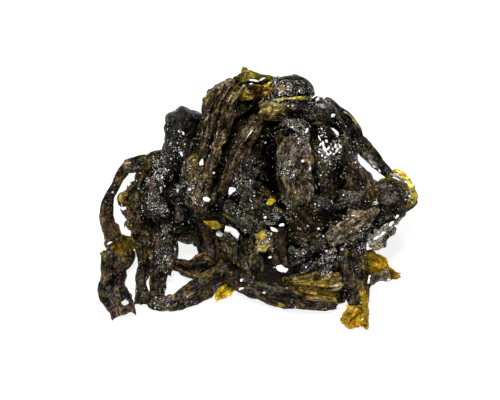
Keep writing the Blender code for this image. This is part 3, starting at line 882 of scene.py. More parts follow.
def tool_object(points):
    """A closed solid between two rings of corners, to cut with."""
    count = len(points) // 2
    sides = [(k, (k + 1) % count, (k + 1) % count + count, k + count) for k in range(count)]
    mesh = bpy.data.meshes.new("tool")
    mesh.from_pydata(points, [], [tuple(range(count))[::-1], tuple(range(count, 2 * count))] + sides)
    shape = bmesh.new()
    shape.from_mesh(mesh)
    bmesh.ops.recalc_face_normals(shape, faces=shape.faces)
    shape.to_mesh(mesh)
    shape.free()
    return placed("tool", mesh)


def add_core():
    mesh = core_mesh()
    points = stored(mesh.vertices, "co").astype(float) / MM
    normals = stored(mesh.vertex_normals, "vector").astype(float)
    bumps = 1.1 * noise(points / 7.0, SEED) + 0.8 * (0.4 - np.abs(noise(points / 4.0, SEED + 1)))
    bumps += 0.4 * noise(points / 2.2, SEED + 2)
    in_front = np.clip(normals @ VIEW * 3.0, 0.0, 1.0)
    points += normals * bumps[:, None] - VIEW * (hollow(*seen(points)) * in_front)[:, None]
    points[:, 2] = np.maximum(points[:, 2], 0.5)
    store_places(mesh, points)
    mesh.materials.clear()
    mesh.materials.append(core_material())
    mesh.shade_smooth()
    mesh.update()
    core = placed("core", mesh)
    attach(core, BODY)
    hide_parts(NODE)
    return core


# Fronds that the photograph shows, piece by piece

def shown_fronds():
    """Routes and widths of the fronds in the photograph."""
    pieces = {}

    def add(piece, kind, place, rows, flat=0.0, tinted=True, **more):
        """A frond from rows of across, up, height or lift, and width. Flat turns its face to the viewer.

        What else is given changes the kind, or goes to frond."""
        changes = {name: more.pop(name) for name in Kind._fields if name in more}
        number = sum(len(group) for group in pieces.values())
        route = np.array([place(*row[:3]) for row in rows])
        normals = unit(facing(route) * (1.0 - flat) + VIEW * flat)
        sheet = frond(route, [row[3] for row in rows], normals, kind._replace(**changes), 300 + 17 * number,
                      tinted=tinted and kind is not EDGE, **more)
        pieces.setdefault(piece, []).append(sheet)

    left, gold, shoulder, top, band, right, front = [
        functools.partial(add, name) for name in (
            "left_straps", "gold_flares", "shoulder_fronds", "top_fronds", "right_straps", "right_fronds",
            "front_fronds")]

    # Left: the arch, its amber knee and the blade and strands that hang from it
    left(STRAP, at, ((-35.4, 65.4, 24, 5.6), (-39, 64.6, 22.6, 5.4), (-42, 63.4, 21.8, 5),
        (-46, 62.6, 20.8, 4.4), (-49, 62, 19.6, 4.4), (-52.6, 61.4, 18, 3.8)), flat=0.5, tone=0.7)
    left(STRAP, at, ((-49.4, 64.2, 19.4, 2.4), (-51.5, 60.2, 17.6, 3.4), (-53.5, 56.2, 15.6, 3.2),
        (-55.7, 52.2, 13.4, 2.9), (-57.1, 48.4, 11, 3.6), (-57.6, 43.5, 8.4, 4.3), (-57, 38.8, 7, 4.4),
        (-56, 34.6, 6, 5.6)), tone=0.5)
    left(KNEE, at, ((-57.4, 41.5, 8.4, 3.4), (-56.2, 37.5, 8, 5.2), (-54.8, 33.8, 8, 8.4),
        (-53.3, 30.8, 7.6, 11.6), (-53, 25.6, 5.4, 10.6)))
    left(STRAP, at, ((-52.9, 31, 8.6, 11.6), (-53.2, 27.2, 6.2, 11.8), (-54.3, 24, 4.2, 9.2),
        (-54.9, 20, 3.2, 9.8), (-55, 16, 2.6, 10.8), (-53.9, 12, 2.2, 11.2), (-52, 8.4, 1.9, 10.4),
        (-50.9, 5.2, 1.7, 8.6)), holes=((-49.6, 10.6, 1.4, 1.2),), tone=0.9)
    left(STRAP, at, ((-44.6, 36, 11, 6), (-43.6, 31.5, 8.5, 5.6), (-42.8, 27.2, 6, 5.4), (-43, 22.4, 3.8, 5),
        (-44.1, 18, 2.6, 3.4), (-43.9, 14.6, 2.2, 5), (-43.7, 12, 2, 6.4), (-43.5, 9, 1.7, 6)))
    left(STRAP, at, ((-38.8, 42, 15, 8), (-38, 36, 12, 8), (-37.4, 30, 8.5, 7.8), (-37.2, 24, 5.4, 7.4),
        (-37.3, 18, 3.4, 6.8), (-37.6, 13, 2.4, 6.4), (-37.4, 9.2, 2, 6)), salt=0.4,
        light=(0.04, 0.034, 0.021))
    left(SHADE, at, ((-34, 38, 13, 6), (-29, 36.3, 12, 7.4), (-23.6, 36.3, 13, 8), (-18, 37, 16, 7)))
    left(SHADE, at, ((-22, 36, 14, 7), (-19.8, 31, 11.5, 8.8), (-19.6, 27.4, 9.8, 10.4), (-19.4, 22, 7.6, 8)))
    left(ROLL, at, ((-39, 49.5, 24.1, 4), (-36.6, 44, 20.9, 5), (-34.8, 38, 13.5, 5), (-34.2, 32, 10.5, 5),
        (-34.4, 26.5, 7.5, 4.4), (-35.4, 20.5, 5, 3)))
    left(FOLD, at, ((-34, 25, 5.5, 4.6), (-30, 24, 5.5, 4.6), (-27, 22.4, 6, 6.2), (-24, 22.2, 7, 9),
        (-19, 23.4, 8.5, 9.4), (-15, 24, 9.5, 8)), tone=0.9)
    left(LEAF, at, ((-41, 62, 20.5, 6), (-42.6, 57.6, 18.5, 7.4), (-44.8, 52.6, 16.5, 12),
        (-45.4, 48.8, 15, 13), (-44, 44.6, 13, 10.6), (-44.6, 40.4, 11.5, 12.2), (-44.4, 36, 10, 9.6),
        (-43.4, 32, 8.5, 8)), torn=0.42, margin=(0.05, 0.038, 0.01), margin_wide=0.8, margin_thin=0.2,
        salt=0.4, flat=0.85, tone=0.65, holes=((-51.4, 46, 1.5, 0.7), (-49.4, 54.9, 1.2, 0.5),
        (-51.6, 42.6, 0.8, 0.5), (-50.4, 38.2, 1.2, 0.6)))
    left(STRAP, at, ((-1, 23, 10.5, 7), (-9, 21.4, 9, 8.6), (-15.6, 19, 7, 8.8), (-20.8, 16.2, 5.4, 9.4),
        (-25.4, 13.2, 4.2, 8.6), (-30, 10.2, 3.2, 6.4), (-35.4, 9.5, 2.6, 4.8), (-41.4, 10.8, 2.2, 4)),
        lean=6, tone=1.12)
    left(ROLL, at, ((-39.5, 15, 3, 3), (-38, 12.2, 3.2, 3.2), (-34.6, 10.8, 3.6, 3.2), (-32, 13.2, 3.6, 2.2)))
    gold(FLARE, at, ((-16.6, 11.3, 1.6, 0.3), (-14.8, 12.4, 2, 2.2), (-12.8, 14, 2.6, 4.4),
        (-11, 15.6, 3.2, 5), (-9, 17.2, 3.8, 4)), dark=(0.3, 0.2, 0.01), light=(0.88, 0.72, 0.035), torn=0.12,
        tinted=False)

    # The salted left shoulder
    shoulder(ROLL, at, ((-28.6, 82, 28.8, 11), (-28.6, 84.2, 34.7, 12.2), (-28.6, 84.6, 38.8, 12.8),
        (-28.8, 83.2, 41.4, 13), (-29, 79.8, 41.7, 13), (-29.2, 75.6, 40, 12.6), (-30.6, 70.5, 37.2, 13),
        (-33, 64, 31.6, 13.2), (-34.6, 57.5, 27.2, 12), (-34.6, 51, 25.1, 10.6), (-33.6, 45, 20.4, 8)),
        curl=3, torn=0.02, thick=0.8, crush=0.4, dark=(0.0015, 0.0011, 0.0007), light=(0.019, 0.0166, 0.0125),
        salt=0.25)
    shoulder(ROLL, on, ((-25, 79.4, 0.6, 4), (-24.8, 76, 1.8, 5.4), (-26, 71, 2, 7), (-27.6, 65, 2.4, 7.5),
        (-28.5, 59, 2, 6)), curl=2.4)
    shoulder(FOLD, on, ((-18, 62, 1.5, 9), (-20.4, 56.5, 2, 11.5), (-22.6, 50, 2.2, 11.5), (-24.2, 44, 2, 8)),
        salt=0.6)
    shoulder(ROLL, on, ((-27.5, 60, 2.5, 4), (-28.6, 54, 3, 5.6), (-30, 48, 3, 6), (-30.4, 42, 2.4, 5.4),
        (-28, 38.5, 1.5, 3)), tone=1.2)
    shoulder(ROLL, on, ((-41.5, 57, 1, 4), (-39.6, 52, 2, 5), (-39.4, 46, 2, 5.4), (-40, 40.5, 1.5, 4)),
        salt=0.5, tone=0.95)
    shoulder(ROLL, on, ((-35, 50.6, 3.4, 2), (-38.6, 49.6, 3.2, 2.6), (-38.8, 45.6, 3.2, 2.8),
        (-36, 42.2, 3.2, 2.8), (-32.4, 41.2, 3, 2.2)), salt=0.9)

    # The brown fold at the upper left, the tip over it and the amber band behind the dark hole
    top(FOLD, on, ((-6.4, 94.6, -1, 4.5), (-11, 91.8, 1.5, 8.4), (-15.2, 86.7, 2.2, 12.2),
        (-17.3, 80, 2.6, 12.6), (-18.6, 73, 2.8, 12.2), (-21.2, 66.4, 2.8, 13.2), (-23.8, 59.5, 2.6, 12.5),
        (-25.2, 53, 2, 9.5)), torn=0.03, crush=0.5, ends=(ROUND, TORN))
    top(FOLD, on, ((-6, 91.5, 2.5, 1.6), (-9, 87, 3.4, 2.8), (-11.2, 81, 3.6, 3.6), (-13, 74.5, 3.4, 3.8),
        (-15.4, 68, 3.2, 3.4), (-17.6, 61, 2.8, 3), (-19.6, 55, 2, 2)), tone=1.2)
    # Painted highlight: a bright line along the fold's right edge
    top(EDGE, on, ((-4.2, 93, 4, 0.8), (-6.6, 89.6, 4.6, 1.1), (-8.4, 87, 4.8, 1.1), (-9.9, 84.2, 4.8, 0.8)))
    top(EDGE, on, ((-20.9, 85.2, 1, 0.6), (-19.7, 87.9, 0.8, 1.1), (-18, 90, 0.4, 1.2), (-15.4, 92, 0, 0.6)),
        light=(0.36, 0.34, 0.04), margin=(0.36, 0.33, 0.04))
    top(LEAF, at, ((-9.2, 94.6, 55.2, 0.6), (-6.8, 95.4, 55.7, 2.2), (-4.8, 95.9, 56, 3.4),
        (-3.2, 95.8, 56.1, 3.6), (-0.8, 95.4, 56, 2.8), (2.4, 95.1, 55.6, 2), (6.4, 95, 55, 1.2)),
        dark=(0.07, 0.05, 0.008), light=(0.32, 0.26, 0.035), thin=0.4, torn=0.08, ruffle=0.3, flat=1,
        ends=(TAPER, TORN), tinted=False)
    top(AMBERY, on, ((-8.2, 89.2, 2.6, 4.6), (-4.4, 89.5, 3.4, 5.6), (0, 90, 3.4, 5.8), (3.6, 90.6, 2.8, 4.8),
        (6.6, 91.2, 1.6, 3)), flat=0.5, tinted=False, tone=1.95)
    top(FOLD, on, ((-9.4, 92.8, 1.4, 2), (-6, 94, 2, 2.2), (-1.6, 94.2, 2.2, 2.2), (3.5, 94.5, 2, 2.4),
        (8, 94.6, 1, 2.6)), flat=0.8, tone=0.8)
    top(ROLL, on, ((4.6, 88.6, 1.5, 3.2), (6, 92.8, 1.8, 4.2), (9.8, 95.4, 1.4, 4.4), (15.2, 94, 1.6, 4.6),
        (19.2, 90.8, 1.6, 4.4), (20.4, 87, 1, 3.6)), salt=0.8, tone=0.65)
    top(ROLL, on, ((8, 87.6, 2.4, 2.6), (9, 90.8, 3.2, 3.2), (12, 92, 3.2, 3.4), (15.2, 90.8, 3, 3.2),
        (16.4, 87.8, 2.4, 2.8)), salt=1.1, tone=0.75)
    top(ROLL, on, ((11.4, 87.6, 3.4, 2.2), (12, 89.6, 4, 2.4), (13.8, 89.2, 4, 2.4), (14, 87.4, 3.4, 2.2)),
        salt=1, tone=0.9)

    # The band and strap over the right shoulder, and the lobe and flare beyond them
    band(STRAP, on, ((-0.4, 82.4, 2.6, 5.8), (4.6, 83, 3.2, 7.8), (11.4, 83.7, 3.4, 9.2),
        (18.6, 84, 3.4, 9.2), (25, 83.9, 3.2, 9.4), (30.8, 82.3, 3, 8.6), (34.4, 79.1, 3, 7.4),
        (37, 75, 3, 6.4), (38.6, 71, 2.5, 6)), salt=0.6, light=(0.058, 0.046, 0.04), flat=0.6,
        holes=((27.4, 77.6, 1.3, 0.8), (29.6, 76.4, 1.6, 1.1), (31, 75, 1.2, 1.1)))
    band(EDGE, on, ((1.2, 84.2, 4, 0.4), (4, 85.7, 4.2, 0.6), (8.6, 86.5, 4.2, 0.7), (14, 87, 4, 1),
        (20.6, 87.3, 3.6, 0.5)), dark=(0.26, 0.25, 0.02), light=(0.68, 0.64, 0.05), margin=(0.6, 0.56, 0.06),
        flat=0.6)
    band(EDGE, on, ((32, 83.3, 3.4, 0.4), (35.7, 80.4, 3.4, 0.7), (38.6, 77, 3.4, 0.6), (40.4, 73, 3, 0.4)),
        light=(0.34, 0.33, 0.12), margin=(0.26, 0.25, 0.08), flat=0.6)
    band(STRAP, at, ((36.4, 74.1, 33, 6), (40.4, 69.6, 30, 5.8), (44.1, 65.4, 26.5, 5.8),
        (47.4, 61.8, 23.5, 5), (50.6, 58.9, 20.5, 3.8), (53, 56.6, 18.5, 3)), salt=0.35,
        light=(0.044, 0.035, 0.026), flat=0.6)
    band(SHADE, on, ((31.2, 71.2, 1, 3.2), (33.4, 70.4, 1.6, 4.4), (35, 68.6, 2, 4.2), (36, 66.8, 2, 2.6)),
        flat=0.6)
    right(LEAF, on, ((39.5, 48.2, 1.5, 13.4), (44.4, 48.7, 2, 16.4), (48.6, 49, 2.2, 15.8),
        (52.4, 50.2, 2, 15.4), (56.4, 51, 1.5, 12), (60, 52, 0.5, 7.6)), torn=0.12, salt=0.8, crush=0.8,
        light=(0.145, 0.13, 0.108), ends=(TORN, ROUND), flat=0.8)
    gold(FLARE, at, ((50.4, 60, 21, 0.6), (53.4, 59.1, 21.4, 1.2), (56.2, 57, 21.4, 2.2), (58.1, 54, 21, 2.8),
        (58.6, 51, 20.4, 3.4), (58, 48.2, 19.6, 2.2), (56.6, 45.8, 18.8, 0.8)), dark=(0.06, 0.045, 0.008),
        light=(0.8, 0.68, 0.09), torn=0.9, crush=0.9, salt=0.9, thin=0.2, flat=0.8, tinted=False,
        holes=((54.4, 57.6, 0.7, 0.35), (56.4, 55.9, 0.6, 0.4), (57.7, 54.4, 0.45, 0.5),
        (57.2, 52.6, 0.5, 0.4), (58.9, 52, 0.4, 0.5), (57.4, 50.4, 0.5, 0.45), (58.6, 49, 0.4, 0.4),
        (57.2, 48, 0.5, 0.4)))
    # Painted highlight: the blown white at the top of the lobe's rim
    gold(EDGE, at, ((50, 59.2, 21.8, 0.8), (52, 58.4, 22.2, 2), (54.2, 57.2, 22.2, 1.6),
        (56, 55.6, 21.8, 0.6)), dark=(0.35, 0.32, 0.2), light=(0.9, 0.88, 0.76), torn=0.8, flat=0.8)
    right(STRAP, on, ((41.6, 58.4, 2.6, 1.6), (43.2, 55.2, 3.2, 2.4), (44.4, 51.4, 3.4, 2.6),
        (43.6, 46.4, 3, 1.8)), light=(0.2, 0.16, 0.05), flat=0.6)
    # The white fringe: a salted margin whose blown white is partly a painted highlight
    right(PALE, at, ((41, 32.8, 16.5, 3), (44.6, 34.8, 16.2, 4.4), (48.6, 38, 16, 4), (52.4, 41.2, 16, 3.4),
        (56.6, 44.4, 16.2, 2)), salt=1.2, dark=(0.16, 0.145, 0.12), light=(0.98, 0.96, 0.92), torn=0.7,
        crush=0.9, thin=0.3, flat=0.8, tinted=False)
    right(PALE, at, ((42, 30.4, 14, 3), (46, 32.6, 13.6, 4), (49.6, 36, 13.6, 3.6), (53, 39.6, 14, 2.6)),
        light=(0.42, 0.34, 0.17), torn=0.5, margin=(0.4, 0.3, 0.06), flat=0.8, tinted=False)
    gold(FLARE, at, ((36.4, 26.4, 12.5, 7), (39, 25.8, 10.5, 9.4), (42.6, 25, 8, 10), (46, 24.2, 5.6, 7.8),
        (49, 22.2, 3.6, 4.4), (51.6, 20.7, 2.6, 3.2), (54.6, 20.1, 2.2, 1.8)), dark=(0.06, 0.034, 0.004),
        light=(0.54, 0.38, 0.018))
    gold(PALE, at, ((40.4, 15.4, 6.4, 2.4), (42.2, 18.6, 6.6, 3.6), (45.6, 20, 5.6, 3.6),
        (48.6, 20.6, 4.4, 3.6), (51, 21.4, 3.4, 2.6)), dark=(0.01, 0.008, 0.006), light=(0.26, 0.22, 0.17),
        torn=0.4, salt=1.2)
    right(STRAP, at, ((33.6, 33, 18.5, 9), (35.4, 28, 15, 9.8), (36.2, 22, 10.5, 10.2), (36.5, 16, 6.5, 9.4),
        (37, 10.5, 3.6, 7.8), (37.6, 6, 2.4, 7), (38.4, 1.4, 1.7, 4.8)), tone=0.9)
    gold(FLARE, at, ((37.6, 8.4, 4.4, 4), (35, 6, 3.6, 5), (32.4, 4.6, 2.8, 5), (30.4, 4.4, 2.4, 2.8)),
        ends=(TORN, ROUND))
    gold(FLARE, at, ((36.4, 10, 4.4, 4.6), (36, 6.4, 3.4, 6.4), (36.6, 3.6, 2.6, 6.6), (37, 1.2, 1.8, 5)),
        torn=0.4, crush=1.2, light=(0.62, 0.44, 0.05))
    gold(FLARE, at, ((39.8, 16.5, 6.8, 1), (39.9, 12, 5, 2.2), (39.6, 7, 3.6, 2.8), (38.8, 2.6, 2.4, 4.2),
        (38.4, 0.8, 1.8, 3.6)), dark=(0.09, 0.05, 0.004), light=(0.5, 0.34, 0.03))
    right(STRAP, at, ((-13, 20.4, 8.4, 5), (-9.4, 18.4, 8, 7.2), (-4, 16.2, 7.6, 8), (2, 14.2, 7, 8),
        (8, 12.4, 6.4, 7.2), (15, 10.9, 5.6, 6), (22, 10.1, 4.8, 4.8), (27.6, 10.1, 4, 5),
        (31, 10.7, 3.4, 4.2)), lean=4)
    right(LEAF, at, ((9.4, 17, 9, 3), (14, 17, 8.6, 7), (19, 16.6, 8.2, 10.8), (24, 16, 7.6, 12.2),
        (28.6, 15.6, 7.2, 12), (33, 15.8, 6.8, 10)), torn=0.1, fold=0.4, folds=4, ruffle=0.4, crush=0.35,
        stretch=3.5, dark=(0.014, 0.01, 0.004), light=(0.35, 0.236, 0.068))
    right(LEAF, at, ((8.8, 18.2, 10.4, 2), (12.6, 19.3, 11, 3.4), (17.6, 20.8, 11, 2)), torn=0.1,
        light=(0.15, 0.125, 0.025), tinted=False)
    right(SHADE, at, ((28, 27, 10, 4), (30.6, 23, 8.8, 5.6), (32, 18.6, 7, 5), (32.4, 14, 5, 3.6),
        (32.2, 10.6, 4, 2.4)))

    # The middle of the front
    front(FOLD, on, ((1.2, 81.6, 1.4, 2.4), (-0.8, 77.6, 2.4, 4.4), (-3.2, 73, 3, 5), (-6.2, 67.6, 3, 6),
        (-9, 62, 2.8, 5.6), (-11.2, 56, 2.6, 5.2), (-12.6, 50, 2, 5)), light=(0.15, 0.105, 0.055), salt=0.2)
    # Painted highlight: a bright line down the column's edge
    front(EDGE, on, ((-1.2, 76.6, 4, 0.5), (-2.8, 73.6, 4.8, 0.9), (-5.2, 69.8, 4.8, 0.6)))
    front(ROLL, on, ((1, 64.2, 1.5, 3), (-3, 63, 2, 4.6), (-6, 59, 2.4, 5), (-6.2, 54, 2.4, 5),
        (-3.6, 50.4, 2, 4.6), (0.4, 48.8, 1.5, 3.6)), light=(0.045, 0.041, 0.042), curl=3.2)
    front(ROLL, on, ((1, 60.4, 1.8, 2.6), (-2, 58.8, 2.6, 3.8), (-2.8, 55.6, 2.6, 4), (-1, 52.6, 2, 3.2)),
        light=(0.045, 0.04, 0.044), curl=2.6)
    front(LEAF, on, ((8.8, 78.4, 1.6, 3), (12.6, 77.2, 2.8, 4.6), (16.4, 76, 3, 5), (19.6, 73.4, 2, 4)),
        light=(0.1, 0.095, 0.075), salt=0.9)
    front(LEAF, on, ((15.4, 62, 2.4, 7), (15, 58, 3, 9.6), (15, 54, 3.4, 10.6), (15.4, 49.6, 3.4, 11),
        (16, 45.4, 2.6, 8)), light=(0.1, 0.088, 0.06), salt=0.7)
    front(PALE, on, ((18.9, 76.2, 2.8, 0.6), (17.8, 73.4, 3.4, 3.2), (15.8, 70.2, 3.7, 7.8),
        (14.4, 67.4, 3.8, 10.6), (14, 63.6, 3.4, 11), (13.4, 59, 2.6, 10.4), (13, 55, 1.4, 9)),
        dark=(0.006, 0.005, 0.003), salt=0.4, light=(0.15, 0.126, 0.092), margin=(0.16, 0.14, 0.1),
        margin_wide=0.6, folds=2, ends=(TAPER, TORN))
    front(PALE, on, ((17.2, 63, 3.4, 2), (18.4, 59.4, 4, 3.4), (19.6, 55.6, 4, 3.8), (21.2, 51.6, 3.4, 2.4)),
        dark=(0.02, 0.014, 0.012), light=(0.2, 0.165, 0.145), tinted=False)
    front(FOLD, on, ((24.2, 72, 2, 6), (24, 66, 2.6, 7.6), (24.6, 60, 2.6, 8.4), (25.6, 54, 2.6, 8.8),
        (26.4, 47.5, 2.6, 7)), light=(0.055, 0.044, 0.03), margin=(0.05, 0.04, 0.02))
    front(SHADE, on, ((26.6, 71.5, 2.2, 6), (30.5, 67.3, 3, 9.2), (33.2, 62.1, 3, 10.2),
        (36.9, 56.1, 3, 12.2), (40.1, 47.8, 2.4, 10.4), (41, 44, 1.4, 8)), tone=1.45, flat=0.4)
    front(LEAF, on, ((-13.6, 47.6, 1.8, 4), (-9, 44.6, 2.8, 7), (-3.6, 40.6, 3.2, 8), (1, 36.6, 3, 6)),
        light=(0.06, 0.056, 0.042), salt=0.9)
    front(LEAF, on, ((-8, 48.6, 1.8, 3.6), (-2, 46, 3, 6), (4, 43.6, 3.4, 7), (9.4, 41.2, 3.2, 6)),
        light=(0.056, 0.053, 0.044), salt=0.8)
    front(FOLD, on, ((8.6, 46.6, 2.2, 4), (12.6, 44.2, 3.4, 7), (16.6, 41, 3.6, 8), (20.6, 37.2, 2.6, 5.6)),
        fold=0.5, crush=0.5, light=(0.062, 0.045, 0.022), salt=0.3)
    front(SHADE, on, ((18.4, 48.4, 2, 5), (24, 46.8, 3, 7.4), (30.6, 46.6, 3.2, 8), (37.6, 48, 2.8, 7.4),
        (42, 49.6, 2, 5)), salt=0.9, light=(0.036, 0.033, 0.03), tone=1.2)
    front(SHADE, on, ((20, 42.6, 1, 4), (26, 41.2, 1.6, 5.4), (32.4, 42.4, 1.6, 5)))
    front(PALE, on, ((25, 30.4, 2, 3.4), (30.4, 34.6, 3.2, 7.4), (36, 38.4, 3.4, 9.2), (40.6, 41.8, 3.2, 7.6),
        (45.6, 46.4, 2, 3)), light=(0.46, 0.365, 0.225), margin=(0.1, 0.08, 0.05), margin_wide=1, torn=0.5,
        folds=5, stretch=4, salt=1)
    front(FOLD, on, ((31, 28, 2, 6), (35, 32, 3, 8.4), (39.6, 34.6, 3, 8.6), (43.5, 34.6, 2, 5)))
    front(ROLL, on, ((15.6, 21.6, 3, 3), (20.4, 24.4, 3.6, 4.4), (25.4, 27.4, 3.8, 4.6),
        (30, 31.4, 3.2, 3.4)), light=(0.075, 0.068, 0.058), salt=0.9)
    front(ROLL, on, ((19, 19.8, 3, 2.6), (24.4, 22.4, 3.8, 3.6), (29.6, 25.2, 3.8, 3.8), (33, 28, 3, 2.8)),
        light=(0.075, 0.068, 0.058), salt=0.9)
    front(ROLL, on, ((11, 24.4, 2.6, 3.4), (16.6, 27.8, 3.2, 4.6), (22, 30.8, 3.2, 4.6), (27, 35, 2.6, 3.6)),
        light=(0.062, 0.055, 0.044))
    front(ROLL, on, ((11.6, 31.6, 3, 1.6), (13.6, 29.4, 4, 2.2), (16.6, 28.8, 4.4, 2.2), (18.4, 31, 4, 2),
        (16.4, 33.2, 3.6, 1.6)), light=(0.085, 0.072, 0.058), crush=0.5)
    front(SHADE, on, ((-5, 36, 2, 6), (-3, 30, 3, 8.6), (-1.4, 25, 3.2, 9), (1, 20.6, 3, 6)), tone=1.35)
    front(SHADE, on, ((6.4, 39, 4.2, 6.6), (7.6, 33, 4, 8.4), (9, 26, 3.2, 8.4), (9.4, 21.4, 3, 5.6)),
        tone=1.5)
    front(FOLD, on, ((10, 37, 2, 5), (15, 35.6, 3, 7.6), (20.4, 35, 3, 8), (25, 37.6, 2, 4.6)), tone=0.8)
    front(FOLD, on, ((-10.2, 24, 2.4, 8.6), (-10.8, 28, 3, 9), (-11.2, 31.6, 3.2, 7.2), (-12, 35, 3, 4),
        (-12.4, 37, 2.6, 0.8)), light=(0.135, 0.112, 0.066), torn=0.2, salt=0.6, ends=(TORN, TAPER))
    front(STRAP, on, ((-21, 41.5, 1.5, 4), (-18.8, 36, 2.4, 5.2), (-17.8, 30, 2.6, 5.4), (-18, 24.6, 2, 4.4)),
        tone=0.8)
    gold(FLARE, on, ((-20.2, 40.9, 2, 1), (-18, 40, 2.4, 2.8), (-15.4, 39.3, 2.4, 2.8), (-13.2, 38.8, 2, 1)),
        dark=(0.12, 0.075, 0.003), light=(0.56, 0.41, 0.02), torn=0.3, tinted=False)
    gold(FLARE, on, ((3.3, 47.2, 3.4, 0.8), (4.6, 47.6, 3.8, 2), (5.4, 48.3, 3.8, 1.5), (6.4, 48, 3.4, 0.6)),
        dark=(0.3, 0.19, 0.006), light=(1, 0.8, 0.02), torn=0.5, crush=1.3, tinted=False)
    gold(FLARE, on, ((-0.6, 32.6, 3.2, 3), (2.2, 33.2, 3.8, 6), (5, 33.8, 3.4, 3.2)),
        dark=(0.04, 0.028, 0.006), light=(0.46, 0.35, 0.07), salt=1, thin=0.2, crush=1.5, folds=5, torn=0.3,
        tinted=False)
    top(LEAF, at, ((-3.9, 93.8, 56.4, 8.4), (-4.3, 95.2, 56.6, 7.4), (-4.5, 96.7, 56.6, 5),
        (-4.7, 98, 56.5, 2.8), (-4.8, 99.2, 56.4, 0.9)), dark=(0.1, 0.08, 0.012), light=(0.34, 0.29, 0.035),
        thin=0.4, torn=0.1, crush=0.3, flat=1, ends=(TAPER, TAPER), tinted=False)
    # Painted highlight: a pale band along the fold's upper rim
    top(FOLD, on, ((-21, 83.6, 1.2, 1.6), (-18.8, 87.4, 1.4, 3), (-15.6, 90.6, 1.5, 3.6),
        (-11.6, 92.7, 1.4, 3.4), (-7.4, 93.9, 1, 2.2)), light=(0.22, 0.165, 0.11), folds=1.5, fold=0.3,
        torn=0.04, crush=0.3)
    # Painted highlights: a fan of white glossy streaks on the spindle leaf
    for middle in (19.2, 17.5, 15.8):
        right(EDGE, at, (
            (26.6, middle - 0.6, middle - 6.6, 0.2), (28.6, middle - 0.4, middle - 6.5, 0.5),
            (30.2, middle + 0.2, middle - 6.2, 0.6), (31.4, middle + 1.0, middle - 5.6, 0.3)),
            light=(0.92, 0.88, 0.76), dark=(0.40, 0.36, 0.22))
    right(LEAF, at, ((40.4, 36.4, 15.4, 4.6), (44.6, 38.6, 15.2, 6.2), (48.6, 41.4, 15.2, 5.8),
        (53, 44.4, 15.4, 3.6)), light=(0.085, 0.078, 0.068), salt=0.9, flat=0.8)
    ribs = (
        ((-9.4, 92.4, 2.6), (-13, 87.4, 3.4), (-15.2, 82, 3.6), (-16.2, 76, 3.6)),
        ((-12.6, 91.6, 2.4), (-16.4, 86.4, 3.2), (-18.4, 80.4, 3.4), (-19.6, 74, 3.4), (-21.6, 68, 3.4)),
        ((-13.8, 80, 3.6), (-15.0, 73.6, 3.6), (-17, 67, 3.6), (-19.8, 60, 3.4)),
        ((-19.8, 79, 2.8), (-21.4, 71.5, 3.2), (-24, 64.5, 3.4)),
        ((-1.6, 78.6, 3.2), (-4.4, 72, 3.8), (-8, 65.4, 3.8), (-10.4, 59, 3.4)),
        ((27, 31.6, 3.0), (32.4, 35, 4.4), (38.4, 39.4, 4.4), (43, 43.4, 3.4)),
        ((28.6, 35, 3.2), (33.6, 38.6, 4.4), (38, 42, 4.2)),
        ((30, 30.4, 3.0), (35.6, 34.4, 4.2), (41, 38.6, 4.0)),
    )
    for rib in ribs:
        rows = [(*place, 0.7 - 0.3 * (index % 2)) for index, place in enumerate(rib)]
        front(EDGE, on, rows, dark=(0.03, 0.02, 0.012), light=(0.26, 0.20, 0.13), margin=(0.2, 0.15, 0.09),
              thin=0.1, margin_thin=0.1)
    return pieces


# Fronds with seeded routes

HEART = np.array((0.0, 10.0, 14.0))     # starts are spread evenly as seen from here
OUTSIDE = 70.0                          # a distance from there that lies outside the heap
TRIES, FEWEST = 4, 200                  # tries for each frond, and quads that one needs to be kept


def wander(start, heading, length, chance):
    """A route over the heap's skin, and the directions out of it."""
    bend, step = 0.10, 3.2
    place = onto_heap(start)
    swerve = chance.normal(0.0, bend)
    route = []
    for _ in range(max(int(length / step), 4)):
        out = outward(place[None])[0][0]
        heading = unit(heading - out * (heading @ out))
        route.append((place, out))
        heading = unit(heading + np.cross(out, heading) * (swerve + chance.normal(0.0, bend)))
        place = onto_heap(place + heading * step)
        place[2] = max(place[2], 1.5)
    return route


